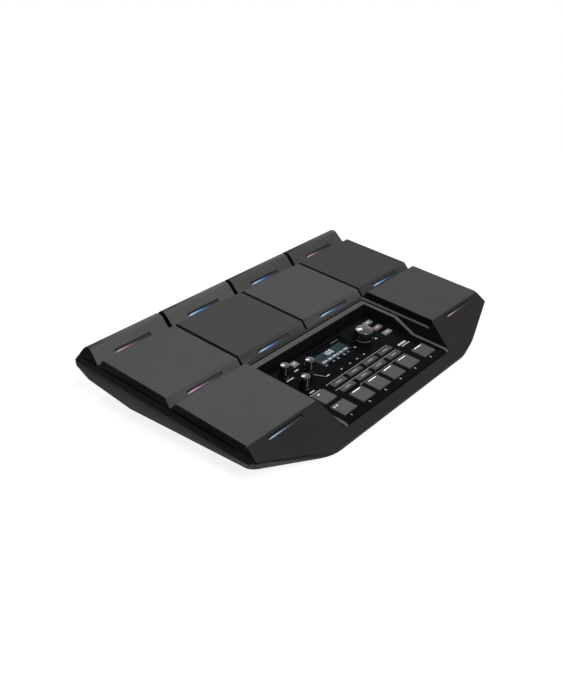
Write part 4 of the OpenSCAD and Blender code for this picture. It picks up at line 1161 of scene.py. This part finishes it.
def threaded_insert(length):
    """Threaded bush: a ring section swept round, its bore cut by a groove that climbs one pitch each turn."""
    heights = np.linspace(-length + THREAD_ENDS, -THREAD_ENDS, THREAD_STEPS)
    bore = np.column_stack([np.full(THREAD_STEPS, INSERT_BORE), heights])
    mouth = INSERT_BORE + INSERT_MOUTH
    outside = rounded([(mouth, 0.0), (INSERT_RADIUS, 0.0), (INSERT_RADIUS, -length), (mouth, -length)],
                      INSERT_ROUNDS)
    section = np.concatenate([bore, outside, bore[:1]])
    points, faces = turned(section, INSERT_STEPS)
    angle = np.linspace(0, 2 * np.pi, INSERT_STEPS, endpoint=False)
    climb = points[:THREAD_STEPS, :, 2] / THREAD_PITCH + angle / (2 * np.pi)
    groove = 1 + THREAD_DEEP / INSERT_BORE * np.abs(2 * (climb % 1) - 1)
    points[:THREAD_STEPS, :, :2] *= groove[..., None]
    points[-1, :, :2] = points[0, :, :2]
    return points, faces


in_place_of("mount_inserts", "_threaded", threaded_insert, DOWNWARD, axis=2)

NUT_BORE = 4.8
NUT_CORNER = 6.6
NUT_CHAMFER = 0.35
NUT_TRIM = 0.45
NUT_EASE = 0.3
NUT_STEPS = 96


def hexagon_nut(thick):
    """Six sided ring: its outer radius follows the hexagon, cut by a cone at the outer face."""
    angle = np.linspace(0, 2 * np.pi, NUT_STEPS, endpoint=False)
    flat = NUT_CORNER * math.cos(math.pi / 6)
    side = flat / np.cos(angle % (math.pi / 3) - math.pi / 6)
    bore = np.full(NUT_STEPS, NUT_BORE)
    radius = np.stack([bore, bore, bore + NUT_EASE, np.minimum(side, flat + NUT_TRIM), side, side, bore])
    height = np.array([0.0, thick - NUT_EASE, thick, thick, thick - NUT_CHAMFER, 0.0, 0.0])
    level = np.repeat(height[:, None], NUT_STEPS, 1)
    points = np.stack([radius * np.cos(angle), radius * np.sin(angle), level], -1)
    return points, quads(len(height), NUT_STEPS, True)


in_place_of("jack_nuts", "_hexagon", hexagon_nut, REARWARD, axis=1)

# The USB socket's tongue, and numbers beside the jacks on the bay's wall

BAY_WALL = 128.236
USB_ACROSS = 78.0
USB_UP = 29.1
# Blocks in the socket: lowest and highest to the right, up and out
TONGUE = [[-2.8, 2.8, -1.6, 1.6, -9.1, -1.2]]
CONTACTS = [[x - 0.5, x + 0.5, z - 0.12, z + 0.12, -8.6, -1.6] for x in (-1.25, 1.25) for z in (-1.6, 1.6)]


def on_bay_wall(points, across, up):
    """Places in millimetres to the right, up and out as seen from behind, about a point of the bay's wall."""
    return in_body(points @ REARWARD + [across, BAY_WALL, up])


for name, boxes, finish, slot in (("usb_tongue", TONGUE, "black_plastic", "black_plastic"),
                                  ("usb_contacts", CONTACTS, "insert_brass", "bright_metal")):
    points, faces = slabs(boxes)
    new_piece(name, on_bay_wall(points, USB_ACROSS, USB_UP), faces, FINISHES[finish])
JACK_UP = 29.8
JACK_NUMBER_LEFT = 10.4
JACK_NUMBER_HEIGHT = 3.0
rear_prints = []
for count, (low, high) in enumerate(loose_parts("jack_nuts")):
    left = -(low[0] + high[0]) / 2 - JACK_NUMBER_LEFT
    base = JACK_UP - JACK_NUMBER_HEIGHT / 2
    rear_prints += number_boxes(str(count + 1), left, base, JACK_NUMBER_HEIGHT, NUMBER_STROKE)
points, faces = slabs(rear_prints)
new_piece("jack_numbers", on_bay_wall(points, 0.0, 0.0), faces, WHITE_INK)
